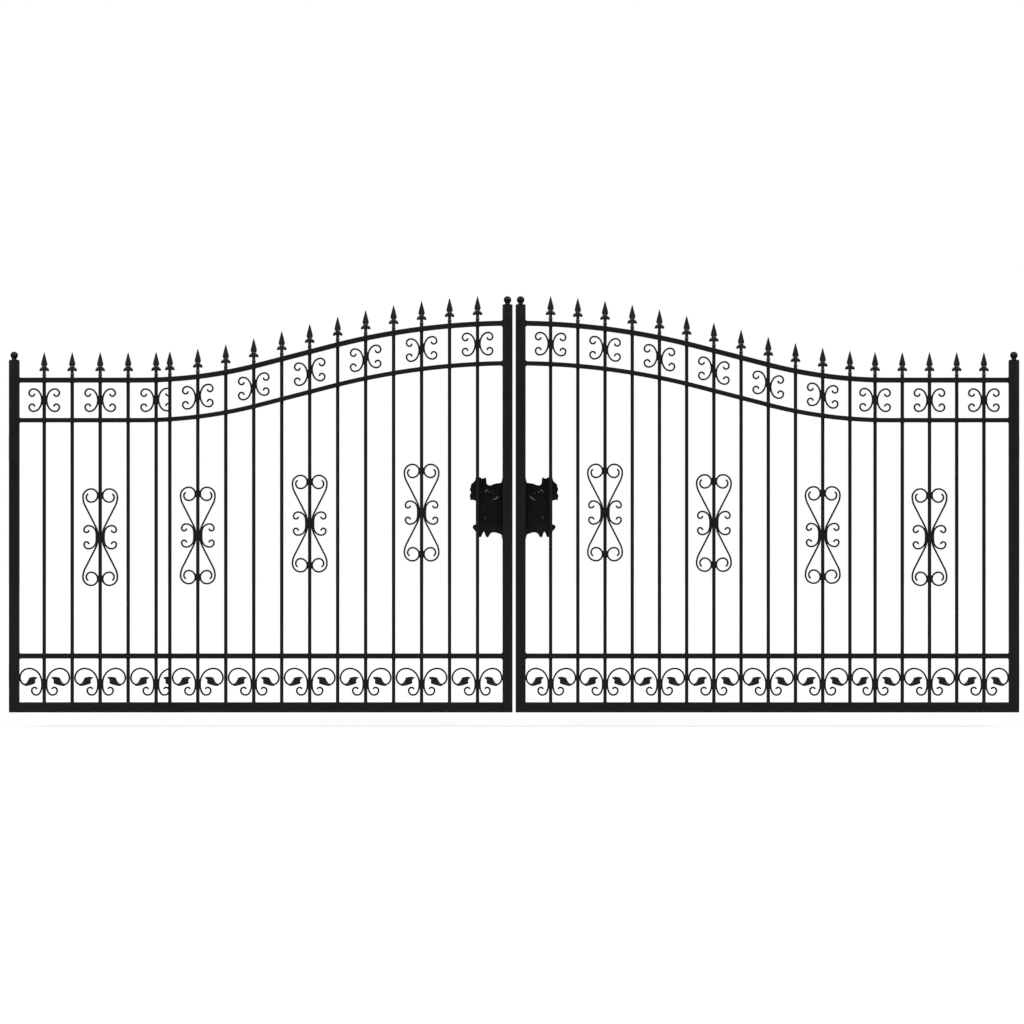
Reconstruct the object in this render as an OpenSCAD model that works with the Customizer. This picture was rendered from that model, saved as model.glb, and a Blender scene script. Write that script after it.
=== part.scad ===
// Double-leaf ornamental steel gate with an arched top, spear finials and scroll infill.
// X runs along the gate, Y is its depth (the street side is -Y) and Z is up. The origin is
// the middle of the closed opening, on the underside of the leaves and in the leaf plane.

/* [Overall] */
// Width of one leaf over its two stiles
leaf_w = 2500; // [2050:10:3100]
// Gap between the two meeting stiles
leaf_gap = 15; // [8:1:30]
// Running gap between a hinge stile and the pier face
side_gap = 5; // [3:1:12]
// Height of the top rail's centre line along its level stretch
rail_h = 1650; // [1350:10:2050]

/* [Arch] */
// Radius of the lower, hollow curve of the arched rails
lower_r = 2350; // [1800:10:2800]
// Radius of the upper, round curve of the arched rails
upper_r = 3600; // [2800:10:4000]
// Steepest slope of the arched rails, in degrees
arch_angle = 14.5; // [10:0.5:16]
// Slope left where the arched rails meet the meeting stile, in degrees
end_angle = 0.4; // [0:0.1:2]
// Length of the straight slope between the two curves, along the slope
slope_len = 372; // [100:4:500]
// Height between the centre lines of the top rail and the band rail
band_drop = 199; // [170:1:260]

/* [Tubes and bars] */
// Side of the square stile and bottom rail tubes
stile_w = 50; // [40:1:60]
// Wall of the square stile and bottom rail tubes
stile_wall = 3; // [2:0.5:4]
// Front-to-back depth of the rail tubes
rail_d = 40; // [30:1:45]
// Height of the top rail and lower rail tubes
rail_t = 25; // [20:1:30]
// Height of the band rail tube
band_t = 22; // [18:1:30]
// Wall of the rail tubes
rail_wall = 2; // [1.5:0.5:3]
// Side of the solid square pickets
picket_w = 16; // [12:1:20]
// Height of the lower rail's centre line
lower_rail_h = 280; // [260:5:400]
// Height of the hinge stile above the top rail's centre line
hinge_stile_up = 100; // [60:1:160]
// Height of the meeting stile above the top rail's centre line
meeting_stile_up = 93; // [60:1:160]

/* [Picket spacing] */
// Centre of a stile to the centre of the picket beside it
end_pitch = 149; // [140:1:160]
// Picket spacing aimed at
pitch_goal = 137; // [134:1:145]
// Pickets in the flat panel on the hinge side, an odd number
flat_pickets = 5; // [3:2:5]
// Spacing across the joint of the two panels in the left leaf
joint_left = 68; // [60:1:140]
// Spacing across the joint of the two panels in the right leaf
joint_right = 125; // [60:1:140]

/* [Scrolls] */
// Thickness of the scroll bar
scroll_t = 7; // [4:0.5:8]
// Depth of the scroll bar
scroll_d = 12; // [8:1:16]
// Height of the lowest panel scrolls' middle
panel_h = 870; // [800:5:1000]
// Thickness of a vine leaf
leaf_t = 8; // [5:1:12]

/* [Spears and balls] */
// Height of a spear finial
spear_h = 122; // [105:1:140]
// Half width of the spear blade
blade_r = 15.4; // [12:0.2:18]
// Diameter of the balls on the stiles
ball_d = 38; // [30:1:45]
// Thickness of the cap plate that closes a stile
cap_t = 4; // [3:0.5:6]

/* [Lock plates] */
// Height of the middle of the cast lock plate
lock_h = 1020; // [900:5:1150]
// Thickness of the cast lock plate
lock_t = 6; // [4:1:10]
// Height of the relief on the lock plate
relief = 4; // [2:0.5:6]

/* [Hinges] */
// Diameter of the hinge pins
pin_d = 16; // [12:1:20]
// Clearance round a pin in its eye, on the radius
pin_play = 0.3; // [0.2:0.05:0.5]
// Outer diameter of the hinge eyes
eye_d = 30; // [28:1:36]
// Height of a hinge eye
eye_h = 60; // [40:1:80]
// Distance of the hinge axis behind the stile's rear face
axis_back = 25; // [23:1:35]
// Height of the lower hinge eye's underside
low_eye_z = 200; // [120:5:220]
// Height of the upper hinge eye's underside
high_eye_z = 1330; // [1000:5:1340]
// Thickness of the bracket plates
bracket_t = 8; // [6:1:10]
// Depth of the bracket plates
bracket_d = 110; // [105:1:130]
// Height of the bracket plates
bracket_h = 120; // [110:1:160]
// Diameter of the fixing holes
fix_d = 12; // [9:0.5:14]
// Front-to-back spacing of the fixing holes
fix_y = 50; // [44:1:60]
// Vertical spacing of the fixing holes
fix_z = 80; // [60:1:90]

/* [Bolts] */
// Diameter of the latch bolt and the drop bolt
bolt_d = 16; // [12:1:18]
// Travel of the latch bolt
latch_travel = 55; // [40:1:60]
// Travel of the drop bolt
drop_travel = 120; // [60:5:150]
// Height of the latch bolt
latch_h = 1090; // [950:5:1200]
// Clearance round a bolt in its guides, on the radius
bolt_play = 0.4; // [0.3:0.05:1]

/* [Hidden] */

steel = [0.10, 0.10, 0.11];
zinc = [0.62, 0.64, 0.66];
bronze = [0.62, 0.45, 0.22];
plastic = [0.05, 0.05, 0.05];

// Clearance between pieces that only touch along a curve
seat = 0.3;
// Clearance round a picket in a punched rail
punch = 0.3;
// Overshoot of a cut past the face it opens
over = 1;

// Distances along a leaf are measured from the hinge stile's centre line.
span = leaf_w - stile_w;
half_stile = stile_w / 2;
half_picket = picket_w / 2;

lower_run = lower_r * sin(arch_angle);
upper_run = upper_r * (sin(arch_angle) - sin(end_angle));
slope_run = slope_len * cos(arch_angle);
flat_run = span - upper_run - slope_run - lower_run;
slope_start = flat_run + lower_run;
upper_start = slope_start + slope_run;
lower_rise = lower_r * (1 - cos(arch_angle));
slope_rise = slope_len * sin(arch_angle);
upper_cx = upper_start + upper_r * sin(arch_angle);
upper_cz = lower_rise + slope_rise - upper_r * cos(arch_angle);

// Rise of the arched rails above their level stretch
function arch(s) =
    s <= flat_run ? 0
    : s <= slope_start ? lower_r - sqrt(pow(lower_r, 2) - pow(s - flat_run, 2))
    : s <= upper_start ? lower_rise + (s - slope_start) * tan(arch_angle)
    : upper_cz + sqrt(pow(upper_r, 2) - pow(s - upper_cx, 2));
function slope(s) = (arch(s + over) - arch(s - over)) / (2 * over);

// Places of a leaf's pickets, for a leaf whose two panels join at a spacing of joint
function arch_gaps(joint) =
    2 * round(((span - 2 * end_pitch - joint - (flat_pickets - 1) * pitch_goal)
               / pitch_goal - 1) / 2) + 1;
function pitch(joint) =
    (span - 2 * end_pitch - joint) / (flat_pickets - 1 + arch_gaps(joint));
function picket_count(joint) = flat_pickets + arch_gaps(joint) + 1;
function picket_at(joint, i) =
    end_pitch + i * pitch(joint) + (i < flat_pickets ? 0 : joint - pitch(joint));
// Free width between picket i and its neighbour on the given side, to the neighbour's face
function cell(joint, i, side) =
    side < 0
    ? (i == 0 ? end_pitch - half_stile
       : picket_at(joint, i) - picket_at(joint, i - 1) - half_picket)
    : (i == picket_count(joint) - 1 ? end_pitch - half_stile
       : picket_at(joint, i + 1) - picket_at(joint, i) - half_picket);

top_edge = rail_t / 2 / cos(arch_angle);
picket_up = top_edge + half_picket * tan(arch_angle) + 2;
hinge_stile_top = rail_h + hinge_stile_up;
meeting_stile_top = rail_h + arch(span) + meeting_stile_up;

// The hinge axis, measured from the hinge stile's centre line
axis_y = half_stile + axis_back;
plate_x = -half_stile - side_gap;
collar_t = 4;
washer_t = 3;
arm_t = 16;
arm_w = 24;
bracket_y = half_stile + 6;
// Middle of the fixing holes, front to back, clear of the eye
fix_mid = axis_y + 45;
eye_bottoms = [low_eye_z, high_eye_z];
drop_low = 12;
bolt_y = half_stile + bolt_d / 2 + 6;

// A path is a list of [radius, angle] bends, a positive angle turning left, or
// [0, length] straights. walk() gives points and headings along it.
step = 24;
function bend(p, h, r, a, n) = [for (i = [1:n])
    let (g = h + a * i / n, s = sign(a))
    [p[0] + s * r * (sin(g) - sin(h)), p[1] - s * r * (cos(g) - cos(h)), g]];
function leg(p, h, b, fine) = b[0] == 0
    ? [[p[0] + b[1] * cos(h), p[1] + b[1] * sin(h), h]]
    : bend(p, h, b[0], b[1], max(2, ceil(abs(b[1]) / fine)));
function walk(p, h, path, fine = step, i = 0) = i == len(path) ? []
    : let (pts = leg(p, h, path[i], fine), last = pts[len(pts) - 1])
      concat(pts, walk(last, last[2], path, fine, i + 1));
// A scroll is narrowed by k outwards from the seat against its picket
face_x = half_picket + seat;
function narrowed(x, k) = face_x + (x - face_x) * k;
function side(pts, w, k) = [for (q = pts)
    [narrowed(q[0] - w * sin(q[2]), k), q[1] + w * cos(q[2])]];
function flip(v) = [for (i = [len(v) - 1:-1:0]) v[i]];

// Outline of a bar bent along a path, narrowed by k
module ribbon(pts, k = 1) {
    polygon(concat(side(pts, scroll_t / 2, k), flip(side(pts, -scroll_t / 2, k))));
}

// Stands a flat outline up in the leaf plane, with thickness t about y = 0
module upright(t) {
    rotate([90, 0, 0]) translate([0, 0, -t / 2]) linear_extrude(t) children();
}

module square_tube(w, h, len, wall) {
    difference() {
        cube([len, w, h], center = true);
        cube([len + 2 * over, w - 2 * wall, h - 2 * wall], center = true);
    }
}

// Puts a leaf, drawn from its hinge stile's centre line, in place on one side
module place_leaf(hand) {
    mirror([hand > 0 ? 1 : 0, 0, 0])
        translate([-leaf_gap / 2 - leaf_w + half_stile, 0, 0]) children();
}

module stile(s, top) {
    translate([s, 0, (top - cap_t + plug_t) / 2]) rotate([0, 90, 0])
        square_tube(stile_w, stile_w, top - cap_t - plug_t, stile_wall);
}

plug_t = 3;
plug_depth = 25;
plug_play = 0.5;

module hinge_stile(hand) {
    color(steel) place_leaf(hand) stile(0, hinge_stile_top);
}

module meeting_stile(hand) {
    color(steel) place_leaf(hand) stile(span, meeting_stile_top);
}

module plug(s) {
    inner = stile_w - 2 * stile_wall - 2 * plug_play;
    translate([s, 0, plug_t / 2]) cube([stile_w, stile_w, plug_t], center = true);
    translate([s, 0, plug_t + plug_depth / 2]) cube([inner, inner, plug_depth], center = true);
}

module stile_plugs(hand) {
    color(plastic) place_leaf(hand) {
        plug(0);
        plug(span);
    }
}

ball_neck_r = 12;
ball_lift = 23;

module ball_cap(s, top) {
    r = ball_d / 2;
    translate([s, 0, top - cap_t / 2]) cube([stile_w, stile_w, cap_t], center = true);
    translate([s, 0, top]) rotate_extrude($fn = 48) {
        square([ball_neck_r, ball_lift - r / 2]);
        translate([0, ball_lift]) intersection() {
            circle(r, $fn = 64);
            translate([0, -r]) square([r, 2 * r]);
        }
    }
}

module ball_caps(hand) {
    color(steel) place_leaf(hand) {
        ball_cap(0, hinge_stile_top);
        ball_cap(span, meeting_stile_top);
    }
}

module bottom_rail(hand) {
    color(steel) place_leaf(hand) translate([span / 2, 0, stile_w / 2])
        square_tube(stile_w, stile_w, span - stile_w, stile_wall);
}

// Punched holes for every picket of a leaf, from height z0 to z1
module picket_holes(joint, z0, z1) {
    w = picket_w + 2 * punch;
    for (i = [0:picket_count(joint) - 1])
        translate([picket_at(joint, i) - w / 2, -w / 2, z0]) cube([w, w, z1 - z0]);
}

module lower_rail(hand, joint) {
    color(steel) place_leaf(hand) difference() {
        translate([span / 2, 0, lower_rail_h])
            square_tube(rail_d, rail_t, span - stile_w, rail_wall);
        picket_holes(joint, lower_rail_h - rail_t, lower_rail_h + rail_t);
    }
}

// Solid arched bar of height t and depth d, its level stretch centred on height z
rail_step = 1.5;
arch_lap = 1;
arch_path = [[0, flat_run - half_stile + over], [lower_r, arch_angle], [0, slope_len],
             [upper_r, end_angle - arch_angle - arch_lap]];
module arched_bar(z, t, d) {
    start = [half_stile - over, z];
    line = concat([[start[0], start[1], 0]], walk(start, 0, arch_path, rail_step));
    upright(d) polygon(concat(side(line, t / 2, 1), flip(side(line, -t / 2, 1))));
}

module arched_rail(hand, joint, z, t) {
    rise = arch(span);
    color(steel) place_leaf(hand) intersection() {
        difference() {
            arched_bar(z, t, rail_d);
            arched_bar(z, t - 2 * rail_wall, rail_d - 2 * rail_wall);
            picket_holes(joint, z - t, z + rise + t);
        }
        translate([half_stile, -rail_d, z - t])
            cube([span - stile_w, 2 * rail_d, rise + 2 * t]);
    }
}

module pickets(hand, joint) {
    color(steel) place_leaf(hand)
        for (i = [0:picket_count(joint) - 1]) {
            s = picket_at(joint, i);
            translate([s - half_picket, -half_picket, stile_w])
                cube([picket_w, picket_w, rail_h + arch(s) + picket_up - stile_w]);
        }
}

// Spear finial, drawn from its base: a turned stem, two drooping barbs and a long blade
spear_t = 10;
barb_r = 22.5;
module spear() {
    stem_top = spear_h - 85;
    neck_z = spear_h - 72;
    wide_z = spear_h - 60;
    rotate_extrude($fn = 32)
        polygon([[0, 0], [8, 0], [8.2, 3], [10.2, 8], [10.2, 11], [8.5, 16], [8.2, 22],
                 [8.2, stem_top], [0, stem_top]]);
    half = [[6, stem_top - 6], [9, stem_top - 3], [14, stem_top - 5], [19, stem_top - 8],
            [barb_r, stem_top - 8], [barb_r - 1, stem_top - 4], [barb_r - 3, stem_top + 1],
            [barb_r - 7, stem_top + 6], [10.5, stem_top + 11], [9.5, neck_z], [12, neck_z + 5],
            [blade_r - 0.4, wide_z - 3], [blade_r, wide_z], [blade_r - 1, wide_z + 7],
            [blade_r * 0.76, wide_z + 18], [blade_r * 0.53, wide_z + 32],
            [blade_r * 0.28, wide_z + 46], [0, spear_h]];
    upright(spear_t) polygon(concat(half, flip([for (p = half) if (p[0] > 0) [-p[0], p[1]]])));
}

module spear_finials(hand, joint) {
    color(steel) place_leaf(hand)
        for (i = [0:picket_count(joint) - 1]) {
            s = picket_at(joint, i);
            translate([s, 0, rail_h + arch(s) + picket_up]) spear();
        }
}

// Centre line of a scroll bar that lies against a picket, from the picket's centre
back_x = face_x + scroll_t / 2;

// Half of a C scroll: from its back, up round the shoulder and into a hooked curl
c_half = [[70, -35], [36, -55], [21, -90], [15, -90], [11.5, -100]];
function mirrored(pts) = [for (q = flip(pts)) [q[0], -q[1], 180 - q[2]]];
function c_scroll(x) = let (up = walk([x, 0], 90, c_half))
    concat(mirrored(up), [[x, 0, 90]], up);

// A scroll pair sits on every second picket; side_of() turns one half to either side
module on_side(s, way, z) {
    translate([s, 0, z]) mirror([way < 0 ? 1 : 0, 0, 0]) children();
}

// Keeps a scroll clear of the face of the next picket or stile
module within(free) {
    intersection() {
        children();
        translate([0, -500]) square([free - seat, 1000]);
    }
}

// Distance over which a scroll on the slope takes its share of the slope
c_reach = 45;
module band_scrolls(hand, joint) {
    color(steel) place_leaf(hand)
        for (i = [0:2:picket_count(joint) - 1], way = [-1, 1]) {
            s = picket_at(joint, i);
            z = rail_h + arch(s) - band_drop / 2 + way * c_reach * slope(s);
            on_side(s, way, z) upright(scroll_d) within(cell(joint, i, way)) ribbon(c_scroll(back_x));
        }
}

// The tall outer bar of a panel scroll: straight legs that end in curls on the picket
leg_angle = 27;
leg_len = 117;
waist = 8;
waist_r = 100;
nest_angle = 12;
panel_half = [[0, waist], [waist_r, -nest_angle], [waist_r, nest_angle - leg_angle], [0, leg_len],
              [90, leg_angle], [41, 90], [32.4, 90], [33, 90], [24, 90], [19, 65]];
function panel_scroll(x) = let (up = walk([x, 0], 90, panel_half))
    concat(mirrored(up), up);

// Pickets that carry panel scrolls: the second scroll picket and every other one after it
function panel_z(s) = panel_h + 0.48 * arch(s);

module panel_scrolls(hand, joint) {
    color(steel) place_leaf(hand)
        for (i = [2:4:picket_count(joint) - 1], way = [-1, 1]) {
            s = picket_at(joint, i);
            on_side(s, way, panel_z(s)) upright(scroll_d) within(cell(joint, i, way))
                ribbon(panel_scroll(back_x));
        }
}

// The small C scroll that nests in the waist of a panel scroll
nest = scroll_t + seat;
inner_half = [[0, waist], [waist_r - nest, -nest_angle], [38, nest_angle - 90], [22, -90],
              [12, -90], [12.5, -90]];
module inner_scrolls(hand, joint) {
    x = back_x + nest;
    up = walk([x, 0], 90, inner_half);
    color(steel) place_leaf(hand)
        for (i = [2:4:picket_count(joint) - 1], way = [-1, 1]) {
            s = picket_at(joint, i);
            on_side(s, way, panel_z(s)) upright(scroll_d) within(cell(joint, i, way))
                ribbon(concat(mirrored(up), up));
        }
}

// The vine: a large bend that runs up from the picket and ends in a leaf, and a curl below
vine_low = 138;
vine_up = [[0, 7], [80, -35], [63.5, -55], [46.7, -90], [36, -62]];
vine_down = [[0, 5], [70, 30], [23.7, 60], [22.6, 90], [15, 90], [12, 75]];
vine_reach = back_x + 116.5;
function vine_fit(free) = free < 0.8 * vine_reach ? 1
    : min(1, (free - seat - face_x) / (vine_reach - face_x));
function back_to_front(pts) = [for (q = flip(pts)) [q[0], q[1], q[2] + 180]];

module vine_outline(free) {
    up = walk([back_x, vine_low], 90, vine_up);
    down = walk([back_x, vine_low], 270, vine_down);
    within(free) ribbon(concat(back_to_front(down), up), vine_fit(free));
}

module vine_scrolls(hand, joint) {
    color(steel) place_leaf(hand)
        for (i = [0:2:picket_count(joint) - 1], way = [-1, 1])
            on_side(picket_at(joint, i), way, 0) upright(scroll_d)
                vine_outline(cell(joint, i, way));
}

// A lobed leaf on the end of the vine; its outline is drawn from the picket's centre
module vine_leaf_outline(free) {
    k = vine_fit(free);
    up = walk([back_x, vine_low], 90, vine_up);
    tip = [up[len(up) - 1]];
    lobes = [[96, 131.5], [84, 133], [67, 138], [52, 143.5], [46.5, 149], [47.5, 155.5],
             [44.5, 164], [34.5, 171.5], [41, 175], [52, 176], [63, 174], [73.5, 171.5],
             [78, 168.5], [79, 164], [84.5, 155.5], [91, 147], [97, 143]];
    within(free) polygon(concat(side(tip, scroll_t / 2, k), [for (p = lobes) [narrowed(p[0], k), p[1]]],
                                side(tip, -scroll_t / 2, k)));
}

module vine_leaves(hand, joint) {
    color(steel) place_leaf(hand)
        for (i = [0:2:picket_count(joint) - 1], way = [-1, 1])
            on_side(picket_at(joint, i), way, 0) upright(leaf_t)
                vine_leaf_outline(cell(joint, i, way));
}

// Cast lock plate: a scrolled cartouche behind the last picket, against the meeting stile
module lock_plate(hand) {
    edge = [[0, 126], [6, 120], [16, 115.5], [37, 113], [49, 108.5], [63, 104.5], [75, 108.5],
            [80, 115.5], [81, 133], [84.5, 144], [91, 140.5], [100, 138.5], [109, 144], [118, 146],
            [128, 148], [134, 144], [136, 133.5], [146, 121], [155.5, 113], [158, 100],
            [162.5, 86.5], [157.5, 75], [158, 67], [163.5, 55], [160.5, 45], [160, 35.5],
            [151, 34.5], [142, 33.5], [133, 28], [133, -88], [142, -93], [146, -101], [142, -111],
            [133, -125], [130, -143], [127, -149], [117, -149], [110.5, -144], [106.5, -133],
            [100, -125], [93, -125.5], [86.5, -137], [81, -147.5], [76, -149], [70, -144],
            [63, -134.5], [52, -127.5], [37, -127], [19, -132], [6, -138], [0, -145]];
    swirl = [57, 60];
    swirl_r = 31;
    swirl_w = 6;
    boss = [46, 67];
    bead = [99.5, -93];
    tendril = [[80, -47], [88, -49], [95, -86], [90, -88]];
    color(steel) place_leaf(hand) translate([span - half_stile, half_picket + lock_t / 2, lock_h])
        mirror([1, 0, 0]) {
            upright(lock_t) polygon(edge);
            translate([0, (over - lock_t - relief) / 2, 0]) upright(relief + over) polygon(tendril);
            raised(swirl) for (arc = [[-75, 67], [-260, 88]]) rotate([0, 0, arc[0]])
                rotate_extrude(angle = arc[1], $fn = 72)
                    translate([swirl_r - swirl_w / 2, 0]) square([swirl_w, relief + over]);
            raised(boss) cylinder(h = relief + over, d = 16, $fn = 48);
            raised(bead) cylinder(h = relief + over, d = 8, $fn = 32);
        }
}

// Stands its children on the front of the lock plate at a point
module raised(at) {
    translate([at[0], -lock_t / 2 - relief, at[1]]) rotate([-90, 0, 0]) children();
}

// Forged eye: a barrel on a lug that is welded to the hinge stile's rear face
module hinge_eyes(hand) {
    color(steel) place_leaf(hand) for (z = eye_bottoms) difference() {
        union() {
            translate([0, axis_y, z]) cylinder(h = eye_h, d = eye_d, $fn = 64);
            translate([-eye_d / 2 + 3, half_stile, z]) cube([eye_d - 6, axis_back, eye_h]);
        }
        translate([0, axis_y, z - over])
            cylinder(h = eye_h + 2 * over, r = pin_d / 2 + pin_play, $fn = 64);
    }
}

// Wall bracket: a plate for the pier face and a level arm that carries the pin
module hinge_brackets(hand) {
    color(steel) place_leaf(hand) for (z = eye_bottoms) {
        arm_top = z - washer_t - collar_t;
        mid = arm_top - arm_t / 2;
        difference() {
            union() {
                translate([plate_x, bracket_y, mid - bracket_h / 2])
                    cube([bracket_t, bracket_d, bracket_h]);
                translate([plate_x + bracket_t - over, axis_y - arm_w / 2, arm_top - arm_t])
                    cube([-plate_x - bracket_t + over, arm_w, arm_t]);
                translate([0, axis_y, arm_top - arm_t]) cylinder(h = arm_t, d = arm_w, $fn = 64);
            }
            translate([0, axis_y, arm_top - arm_t - over])
                cylinder(h = arm_t + 2 * over, r = pin_d / 2, $fn = 64);
            for (a = [-1, 1], b = [-1, 1])
                translate([plate_x - over, fix_mid + a * fix_y / 2, mid + b * fix_z / 2])
                    rotate([0, 90, 0]) cylinder(h = bracket_t + 2 * over, d = fix_d, $fn = 48);
        }
    }
}

// Turned pin with a collar that rests on the bracket's arm
module hinge_pins(hand) {
    color(zinc) place_leaf(hand) for (z = eye_bottoms)
        translate([0, axis_y, z - washer_t - collar_t]) {
            translate([0, 0, -arm_t]) cylinder(h = arm_t + collar_t + washer_t + eye_h + 6, d = pin_d, $fn = 64);
            cylinder(h = collar_t, d = arm_w, $fn = 64);
        }
}

module thrust_washers(hand) {
    color(bronze) place_leaf(hand) for (z = eye_bottoms)
        translate([0, axis_y, z - washer_t]) difference() {
            cylinder(h = washer_t, d = eye_d, $fn = 64);
            translate([0, 0, -over]) cylinder(h = washer_t + 2 * over, r = pin_d / 2 + pin_play, $fn = 64);
        }
}

// A guide block with a round hole along X (turn = 0) or along Z (turn = 90)
guide_w = 28;
guide_l = 14;
module guide(turn, play = bolt_play) {
    depth = bolt_y - half_stile + guide_w / 2;
    difference() {
        translate([0, (depth) / 2 + half_stile - bolt_y, 0])
            cube(turn == 0 ? [guide_l, depth, guide_w] : [guide_w, depth, guide_l], center = true);
        rotate([0, turn == 0 ? 90 : 0, 0])
            cylinder(h = guide_l + guide_w, r = bolt_d / 2 + play, center = true, $fn = 64);
    }
}

guide_spread = 17;
knob_r = 14;
// The latch bolt slides along X on the left meeting stile into the keeper on the right one
latch_x = -leaf_gap / 2 - half_stile;
latch_tip = -leaf_gap / 2 - 2;
latch_len = 150;
module latch_guides() {
    color(steel) for (way = [-1, 1])
        translate([latch_x + way * guide_spread, bolt_y, latch_h]) guide(0);
}

// A turned rod with a neck, and the round knob screwed on it
module latch_bolt() {
    r = bolt_d / 2;
    neck_r = r - 2;
    chamfer = 1.5;
    neck_end = latch_len + 9;
    knob_base = neck_end + seat;
    knob_z = knob_base + sqrt(pow(knob_r, 2) - pow(neck_r, 2));
    first = asin(neck_r / knob_r);
    knob = [for (i = [0:10]) let (a = first + (180 - first) * i / 10)
        [knob_r * sin(a), knob_z - knob_r * cos(a)]];
    color(zinc) translate([latch_tip, bolt_y, latch_h]) rotate([0, -90, 0]) {
        rotate_extrude($fn = 64)
            polygon([[0, 0], [r - chamfer, 0], [r, chamfer], [r, latch_len],
                     [neck_r, latch_len + 2], [neck_r, neck_end], [0, neck_end]]);
        rotate_extrude($fn = 64) polygon(concat([[0, knob_base]], knob));
    }
}

// The keeper's hole is wide enough for a leaf that has sagged a little
keeper_play = 2;
module latch_keeper() {
    color(steel) translate([-latch_x, bolt_y, latch_h]) guide(0, keeper_play);
}

drop_x = leaf_gap / 2 + half_stile;
drop_guides = [170, 400];
handle_clear = 5;
drop_len = drop_guides[1] + guide_l / 2 + drop_travel + bolt_d / 2 + handle_clear - drop_low;
module drop_bolt_guides() {
    color(steel) for (z = drop_guides) translate([drop_x, bolt_y, z]) guide(90);
}

// Cranked handle of the drop bolt, above the upper guide by its travel
handle_l = 55;
module drop_bolt() {
    color(zinc) {
        translate([drop_x, bolt_y, drop_low]) cylinder(h = drop_len, d = bolt_d, $fn = 64);
        translate([drop_x, bolt_y, drop_low + drop_len]) sphere(d = bolt_d, $fn = 48);
        translate([drop_x, bolt_y, drop_low + drop_len]) rotate([-90, 0, 0])
            cylinder(h = handle_l, d = bolt_d, $fn = 64);
        translate([drop_x, bolt_y + handle_l, drop_low + drop_len]) sphere(d = bolt_d + 6, $fn = 48);
    }
}

hinge_brackets(-1);  // left_hinge_brackets
hinge_pins(-1);  // left_hinge_pins
thrust_washers(-1);  // left_thrust_washers
hinge_brackets(1);  // right_hinge_brackets
hinge_pins(1);  // right_hinge_pins
thrust_washers(1);  // right_thrust_washers

hinge_stile(-1);  // left_hinge_stile
meeting_stile(-1);  // left_meeting_stile
bottom_rail(-1);  // left_bottom_rail
lower_rail(-1, joint_left);  // left_lower_rail
arched_rail(-1, joint_left, rail_h - band_drop, band_t);  // left_band_rail
arched_rail(-1, joint_left, rail_h, rail_t);  // left_top_rail
pickets(-1, joint_left);  // left_pickets
spear_finials(-1, joint_left);  // left_spear_finials
ball_caps(-1);  // left_ball_caps
stile_plugs(-1);  // left_stile_plugs
band_scrolls(-1, joint_left);  // left_band_scrolls
panel_scrolls(-1, joint_left);  // left_panel_scrolls
inner_scrolls(-1, joint_left);  // left_inner_scrolls
vine_scrolls(-1, joint_left);  // left_vine_scrolls
vine_leaves(-1, joint_left);  // left_vine_leaves
lock_plate(-1);  // left_lock_plate
hinge_eyes(-1);  // left_hinge_eyes

hinge_stile(1);  // right_hinge_stile
meeting_stile(1);  // right_meeting_stile
bottom_rail(1);  // right_bottom_rail
lower_rail(1, joint_right);  // right_lower_rail
arched_rail(1, joint_right, rail_h - band_drop, band_t);  // right_band_rail
arched_rail(1, joint_right, rail_h, rail_t);  // right_top_rail
pickets(1, joint_right);  // right_pickets
spear_finials(1, joint_right);  // right_spear_finials
ball_caps(1);  // right_ball_caps
stile_plugs(1);  // right_stile_plugs
band_scrolls(1, joint_right);  // right_band_scrolls
panel_scrolls(1, joint_right);  // right_panel_scrolls
inner_scrolls(1, joint_right);  // right_inner_scrolls
vine_scrolls(1, joint_right);  // right_vine_scrolls
vine_leaves(1, joint_right);  // right_vine_leaves
lock_plate(1);  // right_lock_plate
hinge_eyes(1);  // right_hinge_eyes

latch_guides();
latch_bolt();
latch_keeper();
drop_bolt_guides();
drop_bolt();
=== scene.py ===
"""Ornamental double-leaf garden gate: its finished surfaces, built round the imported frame.

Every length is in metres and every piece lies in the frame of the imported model: X runs along
the gate, the street side is -Y and Z is up. Pieces of one leaf are laid out by their distance s
from the hinge stile's centre line.
"""
import logging
import math
from collections.abc import Callable, Iterable, Sequence
from dataclasses import dataclass, field
from enum import Enum

import bmesh
import bpy
import numpy as np
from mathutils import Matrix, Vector, noise


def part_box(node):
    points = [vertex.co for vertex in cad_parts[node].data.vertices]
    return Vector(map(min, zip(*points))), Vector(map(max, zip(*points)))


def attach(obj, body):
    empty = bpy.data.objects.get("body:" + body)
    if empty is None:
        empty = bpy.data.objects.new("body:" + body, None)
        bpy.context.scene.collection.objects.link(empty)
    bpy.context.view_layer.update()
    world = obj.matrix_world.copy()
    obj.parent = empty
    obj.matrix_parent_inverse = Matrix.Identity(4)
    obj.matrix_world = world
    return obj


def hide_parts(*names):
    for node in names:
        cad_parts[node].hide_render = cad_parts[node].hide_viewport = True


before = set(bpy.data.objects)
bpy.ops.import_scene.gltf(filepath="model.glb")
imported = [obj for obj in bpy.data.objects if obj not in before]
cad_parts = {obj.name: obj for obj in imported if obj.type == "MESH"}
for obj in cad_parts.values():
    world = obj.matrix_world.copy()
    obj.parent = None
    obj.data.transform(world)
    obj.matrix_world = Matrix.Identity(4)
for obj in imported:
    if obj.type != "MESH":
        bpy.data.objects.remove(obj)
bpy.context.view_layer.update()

log = logging.getLogger("gate")

Point2 = tuple[float, float]
Station = tuple[float, float, float]

SAME_POINT = 1e-5
SEAT_GAP = 0.0003
BACKWARDS = Vector((0, 1, 0))


# ---------------------------------------------------------------- node helpers


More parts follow.
